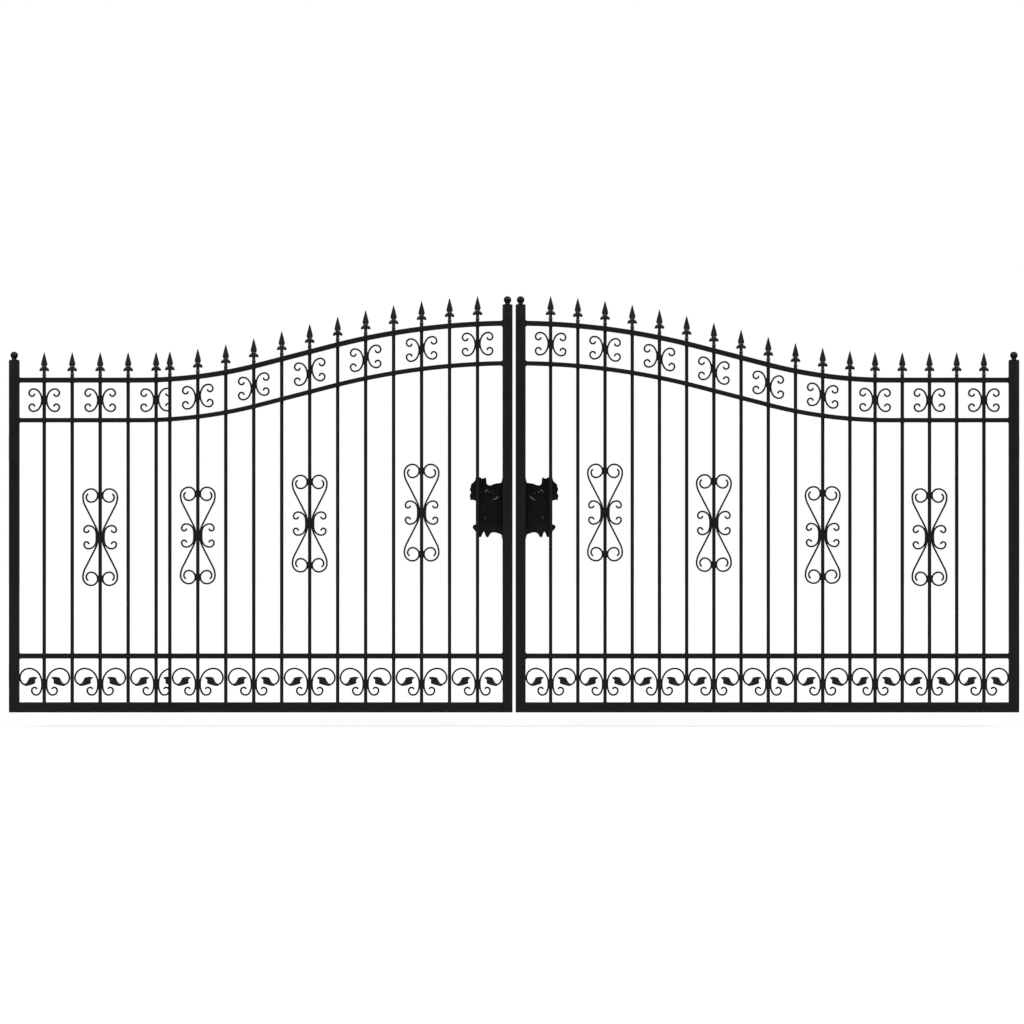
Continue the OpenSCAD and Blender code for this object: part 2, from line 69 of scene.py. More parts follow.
class Tree:
    """Adds and links the nodes of one node tree."""

    def __init__(self, tree: bpy.types.NodeTree) -> None:
        """Keep the tree that nodes are added to."""
        self.tree = tree

    def add(self, kind: str, inputs: dict | None = None, **settings: object) -> bpy.types.Node:
        """Add one node.

        Args:
            kind: The node's type name.
            inputs: Values or sockets for its inputs, by name or index.
            settings: Properties of the node itself.

        Returns:
            The new node.
        """
        node = self.tree.nodes.new(kind)
        for key, value in settings.items():
            setattr(node, key, value)
        for key, value in (inputs or {}).items():
            if isinstance(value, bpy.types.NodeSocket):
                self.tree.links.new(value, node.inputs[key])
            else:
                node.inputs[key].default_value = value
        return node

    def link(self, source: bpy.types.NodeSocket, target: bpy.types.NodeSocket) -> None:
        """Join an output socket to an input socket."""
        self.tree.links.new(source, target)

    def math(self, operation: str, first: object, second: object) -> bpy.types.NodeSocket:
        """The result of one shader calculation on two values or sockets."""
        return self.add("ShaderNodeMath", {0: first, 1: second}, operation=operation).outputs[0]

    def remap(self, value: bpy.types.NodeSocket, came: Point2, goes: Sequence = (0.0, 1.0)
              ) -> bpy.types.NodeSocket:
        """A shader value moved from one range to another, and kept in it.

        Args:
            value: The value.
            came: The range that it comes from.
            goes: The range that it goes to, as numbers or sockets.

        Returns:
            The new value.
        """
        return self.add("ShaderNodeMapRange", {
            "Value": value, "From Min": came[0], "From Max": came[1],
            "To Min": goes[0], "To Max": goes[1]}).outputs["Result"]

    def blend(self, share: bpy.types.NodeSocket, under: bpy.types.NodeSocket,
              over: bpy.types.NodeSocket) -> bpy.types.NodeSocket:
        """One colour laid over another, by a share."""
        return self.add("ShaderNodeMix", {0: share, 6: under, 7: over},
                        data_type="RGBA").outputs[2]

    def for_camera(self, others: float, camera: float) -> bpy.types.NodeSocket:
        """A value that only the camera's own rays see, and another for all other rays."""
        seen = self.add("ShaderNodeLightPath")
        return self.add("ShaderNodeMix", {0: seen.outputs["Is Camera Ray"], 2: others, 3: camera},
                        data_type="FLOAT").outputs[0]

    def socket(self, name: str, kind: str, way: str = "INPUT", default: object = None) -> None:
        """Add a named socket to a group.

        Args:
            name: The socket's name.
            kind: Its socket type, such as NodeSocketFloat.
            way: INPUT or OUTPUT.
            default: Its default value, if it takes one.
        """
        made = self.tree.interface.new_socket(name, in_out=way, socket_type=kind)
        if default is not None:
            made.default_value = default


def new_group(name: str, kind: str, inputs: Sequence[tuple], outputs: Sequence[tuple]) -> Tree:
    """Make a node group with named inputs and outputs.

    Args:
        name: The group's name.
        kind: GeometryNodeTree or ShaderNodeTree.
        inputs: (name, socket type, default) for each input.
        outputs: (name, socket type) for each output.

    Returns:
        The group, ready for its nodes.
    """
    tree = Tree(bpy.data.node_groups.new(name, kind))
    for socket_name, socket_kind, default in inputs:
        tree.socket(socket_name, socket_kind, "INPUT", default)
    for socket_name, socket_kind in outputs:
        tree.socket(socket_name, socket_kind, "OUTPUT")
    return tree


def cleared(owner: bpy.types.Material | bpy.types.World) -> Tree:
    """The emptied node tree of a material or a world."""
    owner.use_nodes = True
    owner.node_tree.nodes.clear()
    return Tree(owner.node_tree)


# ---------------------------------------------------------------- finishes


class ShaderParts:
    """Shader groups that several finishes share, each built once."""

    _grain: bpy.types.NodeTree | None = None
    _wear: bpy.types.NodeTree | None = None

    @classmethod
    def grain(cls) -> bpy.types.NodeTree:
        """Fine surface texture: uneven gloss and a bump height from two noises."""
        if cls._grain is None:
            group = new_group(
                "surface_grain", "ShaderNodeTree",
                [("Vector", "NodeSocketVector", None), ("Scale", "NodeSocketFloat", 500.0),
                 ("Roughness", "NodeSocketFloat", 0.4), ("Spread", "NodeSocketFloat", 0.1),
                 ("Cloud Scale", "NodeSocketFloat", 9.0)],
                [("Roughness", "NodeSocketFloat"), ("Height", "NodeSocketFloat"),
                 ("Cloud", "NodeSocketFloat")])
            source = group.add("NodeGroupInput")
            fine = group.add("ShaderNodeTexNoise", {
                "Vector": source.outputs["Vector"], "Scale": source.outputs["Scale"],
                "Detail": 3.0, "Roughness": 0.6})
            cloud = group.add("ShaderNodeTexNoise", {
                "Vector": source.outputs["Vector"], "Scale": source.outputs["Cloud Scale"],
                "Detail": 4.0, "Roughness": 0.55})
            ends = [group.math(way, source.outputs["Roughness"], source.outputs["Spread"])
                    for way in ("SUBTRACT", "ADD")]
            rough = group.remap(cloud.outputs["Fac"], (0.3, 0.7), ends)
            group.add("NodeGroupOutput", {
                "Roughness": rough, "Height": fine.outputs["Fac"], "Cloud": cloud.outputs["Fac"]})
            cls._grain = group.tree
        return cls._grain

    @classmethod
    def wear(cls) -> bpy.types.NodeTree:
        """Rubbed edges and settled dust over a base colour."""
        if cls._wear is None:
            group = new_group(
                "rub_and_dust", "ShaderNodeTree",
                [("Vector", "NodeSocketVector", None), ("Base", "NodeSocketColor", None),
                 ("Rubbed", "NodeSocketColor", None), ("Dust", "NodeSocketColor", None),
                 ("Rub", "NodeSocketFloat", 0.3), ("Settled", "NodeSocketFloat", 0.3)],
                [("Color", "NodeSocketColor")])
            source = group.add("NodeGroupInput")
            shape = group.add("ShaderNodeNewGeometry")
            patches = group.add("ShaderNodeTexNoise", {
                "Vector": source.outputs["Vector"], "Scale": 40.0, "Detail": 5.0})
            edge = group.remap(shape.outputs["Pointiness"], (0.52, 0.62))
            patchy = group.remap(patches.outputs["Fac"], (0.48, 0.62))
            rub = group.math("MULTIPLY", group.math("MULTIPLY", edge, patchy),
                             source.outputs["Rub"])
            rubbed = group.blend(rub, source.outputs["Base"], source.outputs["Rubbed"])
            up = group.add("ShaderNodeSeparateXYZ", {0: shape.outputs["Normal"]})
            facing = group.remap(up.outputs["Z"], (0.35, 1.0))
            clump = group.remap(patches.outputs["Fac"], (0.35, 0.7), (0.35, 1.0))
            dust = group.math("MULTIPLY", group.math("MULTIPLY", facing, clump),
                              source.outputs["Settled"])
            group.add("NodeGroupOutput", {
                "Color": group.blend(dust, rubbed, source.outputs["Dust"])})
            cls._wear = group.tree
        return cls._wear


@dataclass(frozen=True)
class FinishSpec:
    """What one finish looks like."""

    slot: str
    color: tuple[float, float, float]
    rubbed: tuple[float, float, float] = (0.12, 0.12, 0.125)
    dust: tuple[float, float, float] = (0.17, 0.16, 0.145)
    roughness: float = 0.4
    spread: float = 0.08
    grain_scale: float = 700.0
    grain_height: float = 0.00004
    cloud_scale: float = 9.0
    metallic: float = 0.0
    specular: float = 0.5
    coat: float = 0.0
    rub: float = 0.08
    settled: float = 0.12

    def build(self, name: str) -> bpy.types.Material:
        """Make the material.

        Args:
            name: The material's name.

        Returns:
            The new material.
        """
        material = bpy.data.materials.new(name)
        tree = cleared(material)
        place = tree.add("ShaderNodeTexCoord")
        grain = tree.add("ShaderNodeGroup", node_tree=ShaderParts.grain())
        tree.link(place.outputs["Object"], grain.inputs["Vector"])
        for key, value in (("Scale", self.grain_scale), ("Roughness", self.roughness),
                           ("Spread", self.spread), ("Cloud Scale", self.cloud_scale)):
            grain.inputs[key].default_value = value
        wear = tree.add("ShaderNodeGroup", node_tree=ShaderParts.wear())
        tree.link(place.outputs["Object"], wear.inputs["Vector"])
        for key, value in (("Base", self.color), ("Rubbed", self.rubbed), ("Dust", self.dust)):
            wear.inputs[key].default_value = (*value, 1.0)
        wear.inputs["Rub"].default_value = self.rub
        wear.inputs["Settled"].default_value = self.settled
        bump = tree.add("ShaderNodeBump", {
            "Height": grain.outputs["Height"], "Distance": self.grain_height, "Strength": 1.0})
        shader = tree.add("ShaderNodeBsdfPrincipled", {
            "Base Color": wear.outputs["Color"], "Roughness": grain.outputs["Roughness"],
            "Normal": bump.outputs["Normal"], "Metallic": self.metallic,
            "Specular IOR Level": self.specular, "Coat Weight": self.coat})
        tree.add("ShaderNodeOutputMaterial", {"Surface": shader.outputs["BSDF"]})
        return material


class Finish(Enum):
    """The finishes of the gate, one for each material slot of the record."""

    PAINTED = FinishSpec("painted_black", (0.0062, 0.0063, 0.0066), roughness=0.34, spread=0.03,
                         grain_height=0.00002, rub=0.0, settled=0.05, specular=0.38)
    # A darker copy of the cast_black colour, with painted shade in it: the lock plate behind the
    # pickets is made darker than the spears' FORGED copy of the same casting; the ball caps share
    # it.
    CAST = FinishSpec("cast_black", (0.0024, 0.0024, 0.0026), roughness=0.24, spread=0.04,
                      grain_scale=320.0, grain_height=0.00008, rub=0.03, settled=0.03,
                      specular=0.30)
    FORGED = FinishSpec("cast_black", (0.0072, 0.0072, 0.0075), roughness=0.36, spread=0.05,
                        grain_scale=320.0, grain_height=0.00006, rub=0.0, settled=0.04,
                        specular=0.46)
    ZINC = FinishSpec("zinc_plated", (0.52, 0.53, 0.54), rubbed=(0.7, 0.7, 0.7), roughness=0.36,
                      spread=0.1, metallic=1.0, grain_scale=900.0, grain_height=0.00008,
                      cloud_scale=60.0, rub=0.3, settled=0.15)
    BRONZE = FinishSpec("bronze", (0.42, 0.27, 0.11), rubbed=(0.62, 0.42, 0.2), roughness=0.32,
                        spread=0.08, metallic=1.0, cloud_scale=80.0, settled=0.1)
    PLASTIC = FinishSpec("plastic_black", (0.02, 0.02, 0.02), rubbed=(0.05, 0.05, 0.05),
                         roughness=0.55, spread=0.05, grain_scale=1200.0, rub=0.2, settled=0.3)

    @property
    def material(self) -> bpy.types.Material:
        """The finish's material, built the first time it is asked for."""
        name = self.name.lower() + "_finish"
        return bpy.data.materials.get(name) or self.value.build(name)


# ---------------------------------------------------------------- mesh helpers


def link_object(name: str, mesh: bpy.types.Mesh) -> bpy.types.Object:
    """Make an object at the origin for a mesh and add it to the scene."""
    made = bpy.data.objects.new(name, mesh)
    bpy.context.scene.collection.objects.link(made)
    return made


def mesh_from(name: str, points: Iterable, faces: Iterable, smooth: bool = True) -> bpy.types.Mesh:
    """Make a mesh whose faces all point outwards.

    Args:
        name: The mesh's name.
        points: Its corners.
        faces: Its faces, as lists of corner numbers.
        smooth: Whether faces are shaded smooth.

    Returns:
        The mesh.
    """
    mesh = bpy.data.meshes.new(name)
    mesh.from_pydata([tuple(p) for p in points], [], [tuple(f) for f in faces])
    shape = bmesh.new()
    shape.from_mesh(mesh)
    bmesh.ops.recalc_face_normals(shape, faces=shape.faces)
    for face in shape.faces:
        face.smooth = smooth
    shape.to_mesh(mesh)
    shape.free()
    return mesh


def joined(name: str, meshes: Sequence[bpy.types.Mesh]) -> bpy.types.Mesh:
    """Put several meshes into one.

    Args:
        name: The new mesh's name.
        meshes: The meshes, which are removed afterwards.

    Returns:
        The joined mesh.
    """
    shape = bmesh.new()
    for mesh in meshes:
        shape.from_mesh(mesh)
    result = bpy.data.meshes.new(name)
    shape.to_mesh(result)
    shape.free()
    for mesh in meshes:
        bpy.data.meshes.remove(mesh)
    return result


def cut_mesh(mesh: bpy.types.Mesh, at_x: float, keep: int) -> bpy.types.Mesh:
    """Cut a mesh square across X and close the cut.

    Args:
        mesh: The mesh, which is changed.
        at_x: Where the cut is.
        keep: 1 keeps what lies below at_x, -1 what lies above it.

    Returns:
        The same mesh.
    """
    shape = bmesh.new()
    shape.from_mesh(mesh)
    found = bmesh.ops.bisect_plane(
        shape, geom=[*shape.verts, *shape.edges, *shape.faces], plane_co=(at_x, 0, 0),
        plane_no=(keep, 0, 0), clear_outer=True)
    rim = [g for g in found["geom_cut"] if isinstance(g, bmesh.types.BMEdge)]
    if rim:
        bmesh.ops.edgenet_fill(shape, edges=rim)
        bmesh.ops.recalc_face_normals(shape, faces=shape.faces)
    shape.to_mesh(mesh)
    shape.free()
    return mesh


def islands(node: str) -> list[tuple[Vector, Vector]]:
    """Boxes of the separate solids of a CAD node.

    Args:
        node: The node's name.

    Returns:
        (lowest corner, highest corner) of each solid, in order along X.
    """
    shape = bmesh.new()
    shape.from_mesh(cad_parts[node].data)
    bmesh.ops.remove_doubles(shape, verts=shape.verts, dist=SAME_POINT)
    shape.verts.ensure_lookup_table()
    seen: set[int] = set()
    boxes = []
    for start in shape.verts:
        if start.index in seen:
            continue
        queue, group = [start], []
        seen.add(start.index)
        while queue:
            vert = queue.pop()
            group.append(vert.co.copy())
            for edge in vert.link_edges:
                other = edge.other_vert(vert)
                if other.index not in seen:
                    seen.add(other.index)
                    queue.append(other)
        cloud = np.array(group)
        boxes.append((Vector(cloud.min(0)), Vector(cloud.max(0))))
    shape.free()
    return sorted(boxes, key=lambda b: b[0].x)


def softened(node: str, width: float, segments: int = 2) -> bpy.types.Mesh:
    """A copy of a CAD node's mesh with its edges rounded off.

    Args:
        node: The node's name.
        width: Width of the rounding.
        segments: Steps across the rounding.

    Returns:
        The rounded mesh.
    """
    flat, crisp = math.radians(1.0), math.radians(30.0)
    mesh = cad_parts[node].data.copy()
    mesh.name = node + "_soft"
    mesh.materials.clear()
    shape = bmesh.new()
    shape.from_mesh(mesh)
    bmesh.ops.remove_doubles(shape, verts=shape.verts, dist=SAME_POINT)
    bmesh.ops.dissolve_limit(shape, angle_limit=flat, verts=shape.verts, edges=shape.edges)
    sharp = [e for e in shape.edges
             if len(e.link_faces) == 2 and e.calc_face_angle(0.0) > crisp]
    bmesh.ops.bevel(shape, geom=sharp, offset=width, segments=segments, profile=0.5,
                    affect="EDGES", clamp_overlap=True)
    shape.to_mesh(mesh)
    shape.free()
    return mesh


# ---------------------------------------------------------------- geometry node trees


class Grower:
    """Geometry node trees for what repeats or follows a path."""

    def __init__(self) -> None:
        """Build the three trees."""
        self.bar = self._bar_tree()
        self.copies = self._copies_tree()
        self.rods = self._rods_tree()

    @staticmethod
    def _finish(tree: Tree, shape: bpy.types.NodeSocket, source: bpy.types.Node) -> None:
        """End a tree: real geometry, smooth faces, a material and the output."""
        real = tree.add("GeometryNodeRealizeInstances", {0: shape})
        painted = tree.add("GeometryNodeSetMaterial", {
            "Geometry": real.outputs[0], "Material": source.outputs["Finish"]})
        tree.add("NodeGroupOutput", {0: painted.outputs[0]})

    @staticmethod
    def _profile(tree: Tree, source: bpy.types.Node) -> bpy.types.Node:
        """A rectangle with rounded corners, from the sockets of the group's input."""
        shape = tree.add("GeometryNodeCurvePrimitiveQuadrilateral", {
            "Width": source.outputs["Thickness"], "Height": source.outputs["Depth"]})
        return tree.add("GeometryNodeFilletCurve", {
            "Curve": shape.outputs[0], "Count": 3, "Radius": source.outputs["Corner"],
            "Limit Radius": True}, mode="POLY")

    def _bar_tree(self) -> bpy.types.NodeTree:
        """A bar that follows a path drawn in the XY plane, then stood up in the leaf plane."""
        tree = new_group("bar_along_path", "GeometryNodeTree",
                         [("Geometry", "NodeSocketGeometry", None),
                          ("Thickness", "NodeSocketFloat", 0.006),
                          ("Depth", "NodeSocketFloat", 0.012),
                          ("Corner", "NodeSocketFloat", 0.001),
                          ("Finish", "NodeSocketMaterial", None)],
                         [("Geometry", "NodeSocketGeometry")])
        source = tree.add("NodeGroupInput")
        curve = tree.add("GeometryNodeMeshToCurve", {0: source.outputs["Geometry"]})
        level = tree.add("GeometryNodeSetCurveNormal", {"Curve": curve.outputs[0]}, mode="Z_UP")
        taper = tree.add("GeometryNodeInputNamedAttribute", {"Name": "taper"}, data_type="FLOAT")
        rounded = self._profile(tree, source)
        swept = tree.add("GeometryNodeCurveToMesh", {
            "Curve": level.outputs[0], "Profile Curve": rounded.outputs[0],
            "Scale": taper.outputs["Attribute"], "Fill Caps": True})
        smooth = tree.add("GeometryNodeSetShadeSmooth", {"Geometry": swept.outputs[0]})
        stood = tree.add("GeometryNodeTransform", {
            "Geometry": smooth.outputs[0], "Rotation": (math.pi / 2, 0.0, 0.0)})
        self._finish(tree, stood.outputs[0], source)
        return tree.tree

    def _copies_tree(self) -> bpy.types.NodeTree:
        """Copies of one object on points, each turned and sized by the point's attributes."""
        tree = new_group("copies_on_points", "GeometryNodeTree",
                         [("Geometry", "NodeSocketGeometry", None),
                          ("Piece", "NodeSocketObject", None),
                          ("Finish", "NodeSocketMaterial", None)],
                         [("Geometry", "NodeSocketGeometry")])
        source = tree.add("NodeGroupInput")
        piece = tree.add("GeometryNodeObjectInfo", {"Object": source.outputs["Piece"]})
        turn = tree.add("GeometryNodeInputNamedAttribute", {"Name": "turn"},
                        data_type="FLOAT_VECTOR")
        size = tree.add("GeometryNodeInputNamedAttribute", {"Name": "size"},
                        data_type="FLOAT_VECTOR")
        placed = tree.add("GeometryNodeInstanceOnPoints", {
            "Points": source.outputs["Geometry"], "Instance": piece.outputs["Geometry"],
            "Rotation": turn.outputs["Attribute"], "Scale": size.outputs["Attribute"]})
        self._finish(tree, placed.outputs[0], source)
        return tree.tree

    def _rods_tree(self) -> bpy.types.NodeTree:
        """Upright bars with rounded corners on points, each as tall as its length attribute."""
        tree = new_group("bars_on_points", "GeometryNodeTree",
                         [("Geometry", "NodeSocketGeometry", None),
                          ("Thickness", "NodeSocketFloat", 0.016),
                          ("Depth", "NodeSocketFloat", 0.016),
                          ("Corner", "NodeSocketFloat", 0.0015),
                          ("Finish", "NodeSocketMaterial", None)],
                         [("Geometry", "NodeSocketGeometry")])
        source = tree.add("NodeGroupInput")
        axis = tree.add("GeometryNodeCurvePrimitiveLine", {
            "Start": (0.0, 0.0, 0.0), "End": (0.0, 0.0, 1.0)})
        rounded = self._profile(tree, source)
        rod = tree.add("GeometryNodeCurveToMesh", {
            "Curve": axis.outputs[0], "Profile Curve": rounded.outputs[0], "Fill Caps": True})
        smooth = tree.add("GeometryNodeSetShadeSmooth", {"Geometry": rod.outputs[0]})
        size = tree.add("GeometryNodeInputNamedAttribute", {"Name": "size"},
                        data_type="FLOAT_VECTOR")
        placed = tree.add("GeometryNodeInstanceOnPoints", {
            "Points": source.outputs["Geometry"], "Instance": smooth.outputs[0],
            "Scale": size.outputs["Attribute"]})
        self._finish(tree, placed.outputs[0], source)
        return tree.tree

    @staticmethod
    def run(tree: bpy.types.NodeTree, source: bpy.types.Mesh, name: str,
            values: dict[str, object]) -> bpy.types.Mesh:
        """Run a tree on a mesh and keep the result as a plain mesh.

        Args:
            tree: The geometry node tree.
            source: The mesh that goes in, which is removed afterwards.
            name: The new mesh's name.
            values: The tree's other inputs, by name.

        Returns:
            The result.
        """
        host = link_object(name + "_host", source)
        modifier = host.modifiers.new("grow", "NODES")
        modifier.node_group = tree
        for item in tree.interface.items_tree:
            if item.item_type == "SOCKET" and item.in_out == "INPUT" and item.name in values:
                modifier[item.identifier] = values[item.name]
        graph = bpy.context.evaluated_depsgraph_get()
        result = bpy.data.meshes.new_from_object(host.evaluated_get(graph), depsgraph=graph)
        result.name = name
        bpy.data.objects.remove(host)
        bpy.data.meshes.remove(source)
        return result


def point_mesh(name: str, places: Sequence[Sequence[float]],
               vectors: dict[str, Sequence[Sequence[float]]]) -> bpy.types.Mesh:
    """Make a mesh of loose points with vector attributes.

    Args:
        name: The mesh's name.
        places: Where the points are.
        vectors: Values for each point, by attribute name.

    Returns:
        The mesh.
    """
    mesh = bpy.data.meshes.new(name)
    mesh.from_pydata([tuple(p) for p in places], [], [])
    for key, values in vectors.items():
        layer = mesh.attributes.new(key, "FLOAT_VECTOR", "POINT")
        layer.data.foreach_set("vector", [c for v in values for c in v])
    return mesh


def path_mesh(name: str, line: Sequence[Station], tapers: Sequence[float]) -> bpy.types.Mesh:
    """Make a chain of edges in the XY plane, with a taper at each point.

    Args:
        name: The mesh's name.
        line: (x, height, heading) of each station.
        tapers: The bar's relative thickness at each station.

    Returns:
        The mesh.
    """
    mesh = bpy.data.meshes.new(name)
    mesh.from_pydata([(p[0], p[1], 0.0) for p in line],
                     [(i, i + 1) for i in range(len(line) - 1)], [])
    mesh.attributes.new("taper", "FLOAT", "POINT").data.foreach_set("value", list(tapers))
    return mesh


# ---------------------------------------------------------------- paths


def walk(start: Point2, heading: float, path: Sequence[Point2], fine: float = 7.0) -> list[Station]:
    """Follow a path of bends and straights.

    Args:
        start: Where the path starts.
        heading: Its direction there, in degrees from +X.
        path: (radius, angle) bends, turning left if positive, or (0, length) straights.
        fine: Greatest angle between two stations, in degrees.

    Returns:
        (x, height, heading) of the stations after the start.
    """
    (x, z), stations = start, []
    for radius, amount in path:
        if radius == 0:
            x += amount * math.cos(math.radians(heading))
            z += amount * math.sin(math.radians(heading))
            stations.append((x, z, heading))
            continue
        steps = max(2, math.ceil(abs(amount) / fine))
        sign = math.copysign(1.0, amount)
        for i in range(1, steps + 1):
            now = math.radians(heading + amount * i / steps)
            begin = math.radians(heading)
            stations.append((x + sign * radius * (math.sin(now) - math.sin(begin)),
                             z - sign * radius * (math.cos(now) - math.cos(begin)),
                             math.degrees(now)))
        x, z, heading = stations[-1]
    return stations


def mirrored(line: Sequence[Station]) -> list[Station]:
    """The line below the X axis that leads up to its mirror image above it."""
    return [(x, -z, 180.0 - h) for x, z, h in reversed(line)]


def backwards(line: Sequence[Station]) -> list[Station]:
    """The same line, walked the other way."""
    return [(x, z, h + 180.0) for x, z, h in reversed(line)]


@dataclass(frozen=True)
class Arch:
    """The curve of the arched rails, by distance s from the hinge stile's centre line."""

    span: float = 2.45
    lower_r: float = 2.35
    upper_r: float = 3.6
    angle: float = 14.5
    end_angle: float = 0.4
    slope_len: float = 0.372

    @property
    def flat(self) -> float:
        """Length of the level stretch."""
        tilt, end = math.sin(math.radians(self.angle)), math.sin(math.radians(self.end_angle))
        return (self.span - self.upper_r * (tilt - end)
                - self.slope_len * math.cos(math.radians(self.angle)) - self.lower_r * tilt)

    def rise(self, s: float) -> float:
        """Height of the rail at s above its level stretch."""
        tilt = math.radians(self.angle)
        slope_start = self.flat + self.lower_r * math.sin(tilt)
        upper_start = slope_start + self.slope_len * math.cos(tilt)
        low = self.lower_r * (1 - math.cos(tilt))
        if s <= self.flat:
            return 0.0
        if s <= slope_start:
            return self.lower_r - math.sqrt(self.lower_r ** 2 - (s - self.flat) ** 2)
        if s <= upper_start:
            return low + (s - slope_start) * math.tan(tilt)
        centre_x = upper_start + self.upper_r * math.sin(tilt)
        centre_z = low + self.slope_len * math.sin(tilt) - self.upper_r * math.cos(tilt)
        return centre_z + math.sqrt(self.upper_r ** 2 - (s - centre_x) ** 2)

    def slope(self, s: float) -> float:
        """Slope of the rail at s."""
        near = 0.001
        return (self.rise(s + near) - self.rise(s - near)) / (2 * near)

    def line(self, start: float, end: float, height: float, fine: float = 0.5) -> list[Station]:
        """Stations along the rail from s = start to s = end, about a level height."""
        path = [(0.0, self.flat - start), (self.lower_r, self.angle), (0.0, self.slope_len),
                (self.upper_r, self.end_angle - self.angle)]
        line = [(start, height, 0.0), *walk((start, height), 0.0, path, fine)]
        kept = [p for p in line if p[0] < end - 0.001]
        return [*kept, (end, height + self.rise(end), self.end_angle)]


# ---------------------------------------------------------------- prototypes


def rounded_square(half: float, z: float, corner: float, steps: int = 3) -> list[Vector]:
    """One loop of a square with rounded corners.

    Args:
        half: Half of its side.
        z: Its height.
        corner: Radius of its corners.
        steps: Steps round each corner.

    Returns:
        The loop's corners.
    """
    loop = []
    inner = half - corner
    for quarter, (sx, sy) in enumerate(((1, 1), (-1, 1), (-1, -1), (1, -1))):
        for i in range(steps + 1):
            a = math.radians(90.0 * quarter + 90.0 * i / steps)
            loop.append(Vector((sx * inner + corner * math.cos(a),
                                sy * inner + corner * math.sin(a), z)))
    return loop


def lofted(name: str, loops: Sequence[Sequence[Vector]], smooth: bool = True) -> bpy.types.Mesh:
    """Join equal loops into a closed skin with flat ends.

    Args:
        name: The mesh's name.
        loops: The loops, each with as many corners.
        smooth: Whether faces are shaded smooth.

    Returns:
        The mesh.
    """
    count = len(loops[0])
    points = [p for loop in loops for p in loop]
    faces = [list(range(count))[::-1], list(range((len(loops) - 1) * count, len(loops) * count))]
    for k in range(len(loops) - 1):
        for i in range(count):
            j = (i + 1) % count
            faces.append([k * count + i, k * count + j, (k + 1) * count + j, (k + 1) * count + i])
    return mesh_from(name, points, faces, smooth)


def turned(name: str, outline: Sequence[Point2], steps: int = 32) -> bpy.types.Mesh:
    """Spin an outline about Z.

    Args:
        name: The mesh's name.
        outline: (radius, height) points from the bottom up; the ends lie on the axis.
        steps: Steps round the axis.

    Returns:
        The mesh.
    """
    inner = outline[1:-1]
    points = [Vector((0, 0, outline[0][1])), Vector((0, 0, outline[-1][1]))]
    for r, z in inner:
        points += [Vector((r * math.cos(2 * math.pi * i / steps),
                           r * math.sin(2 * math.pi * i / steps), z)) for i in range(steps)]
    faces = []
    for i in range(steps):
        j = (i + 1) % steps
        faces.append([0, 2 + j, 2 + i])
        last = 2 + (len(inner) - 1) * steps
        faces.append([1, last + i, last + j])
        for k in range(len(inner) - 1):
            a, b = 2 + k * steps, 2 + (k + 1) * steps
            faces.append([a + i, a + j, b + j, b + i])
    return mesh_from(name, points, faces)


def swept(name: str, line: Sequence[Vector], sizes: Sequence[Point2], side: Vector,
          steps: int = 10) -> bpy.types.Mesh:
    """Sweep an ellipse along a line and close both ends to points.

    Args:
        name: The mesh's name.
        line: The centre of each ring.
        sizes: (in-plane radius, radius along side) of each ring.
        side: The direction across the plane that the line lies in.
        steps: Corners of each ring.

    Returns:
        The mesh.
    """
    loops = []
    for k, centre in enumerate(line):
        ahead = line[min(k + 1, len(line) - 1)] - line[max(k - 1, 0)]
        across = ahead.normalized().cross(side).normalized()
        a, b = sizes[k]
        loops.append([centre + across * a * math.cos(2 * math.pi * i / steps)
                      + side * b * math.sin(2 * math.pi * i / steps) for i in range(steps)])
    return lofted(name, loops)


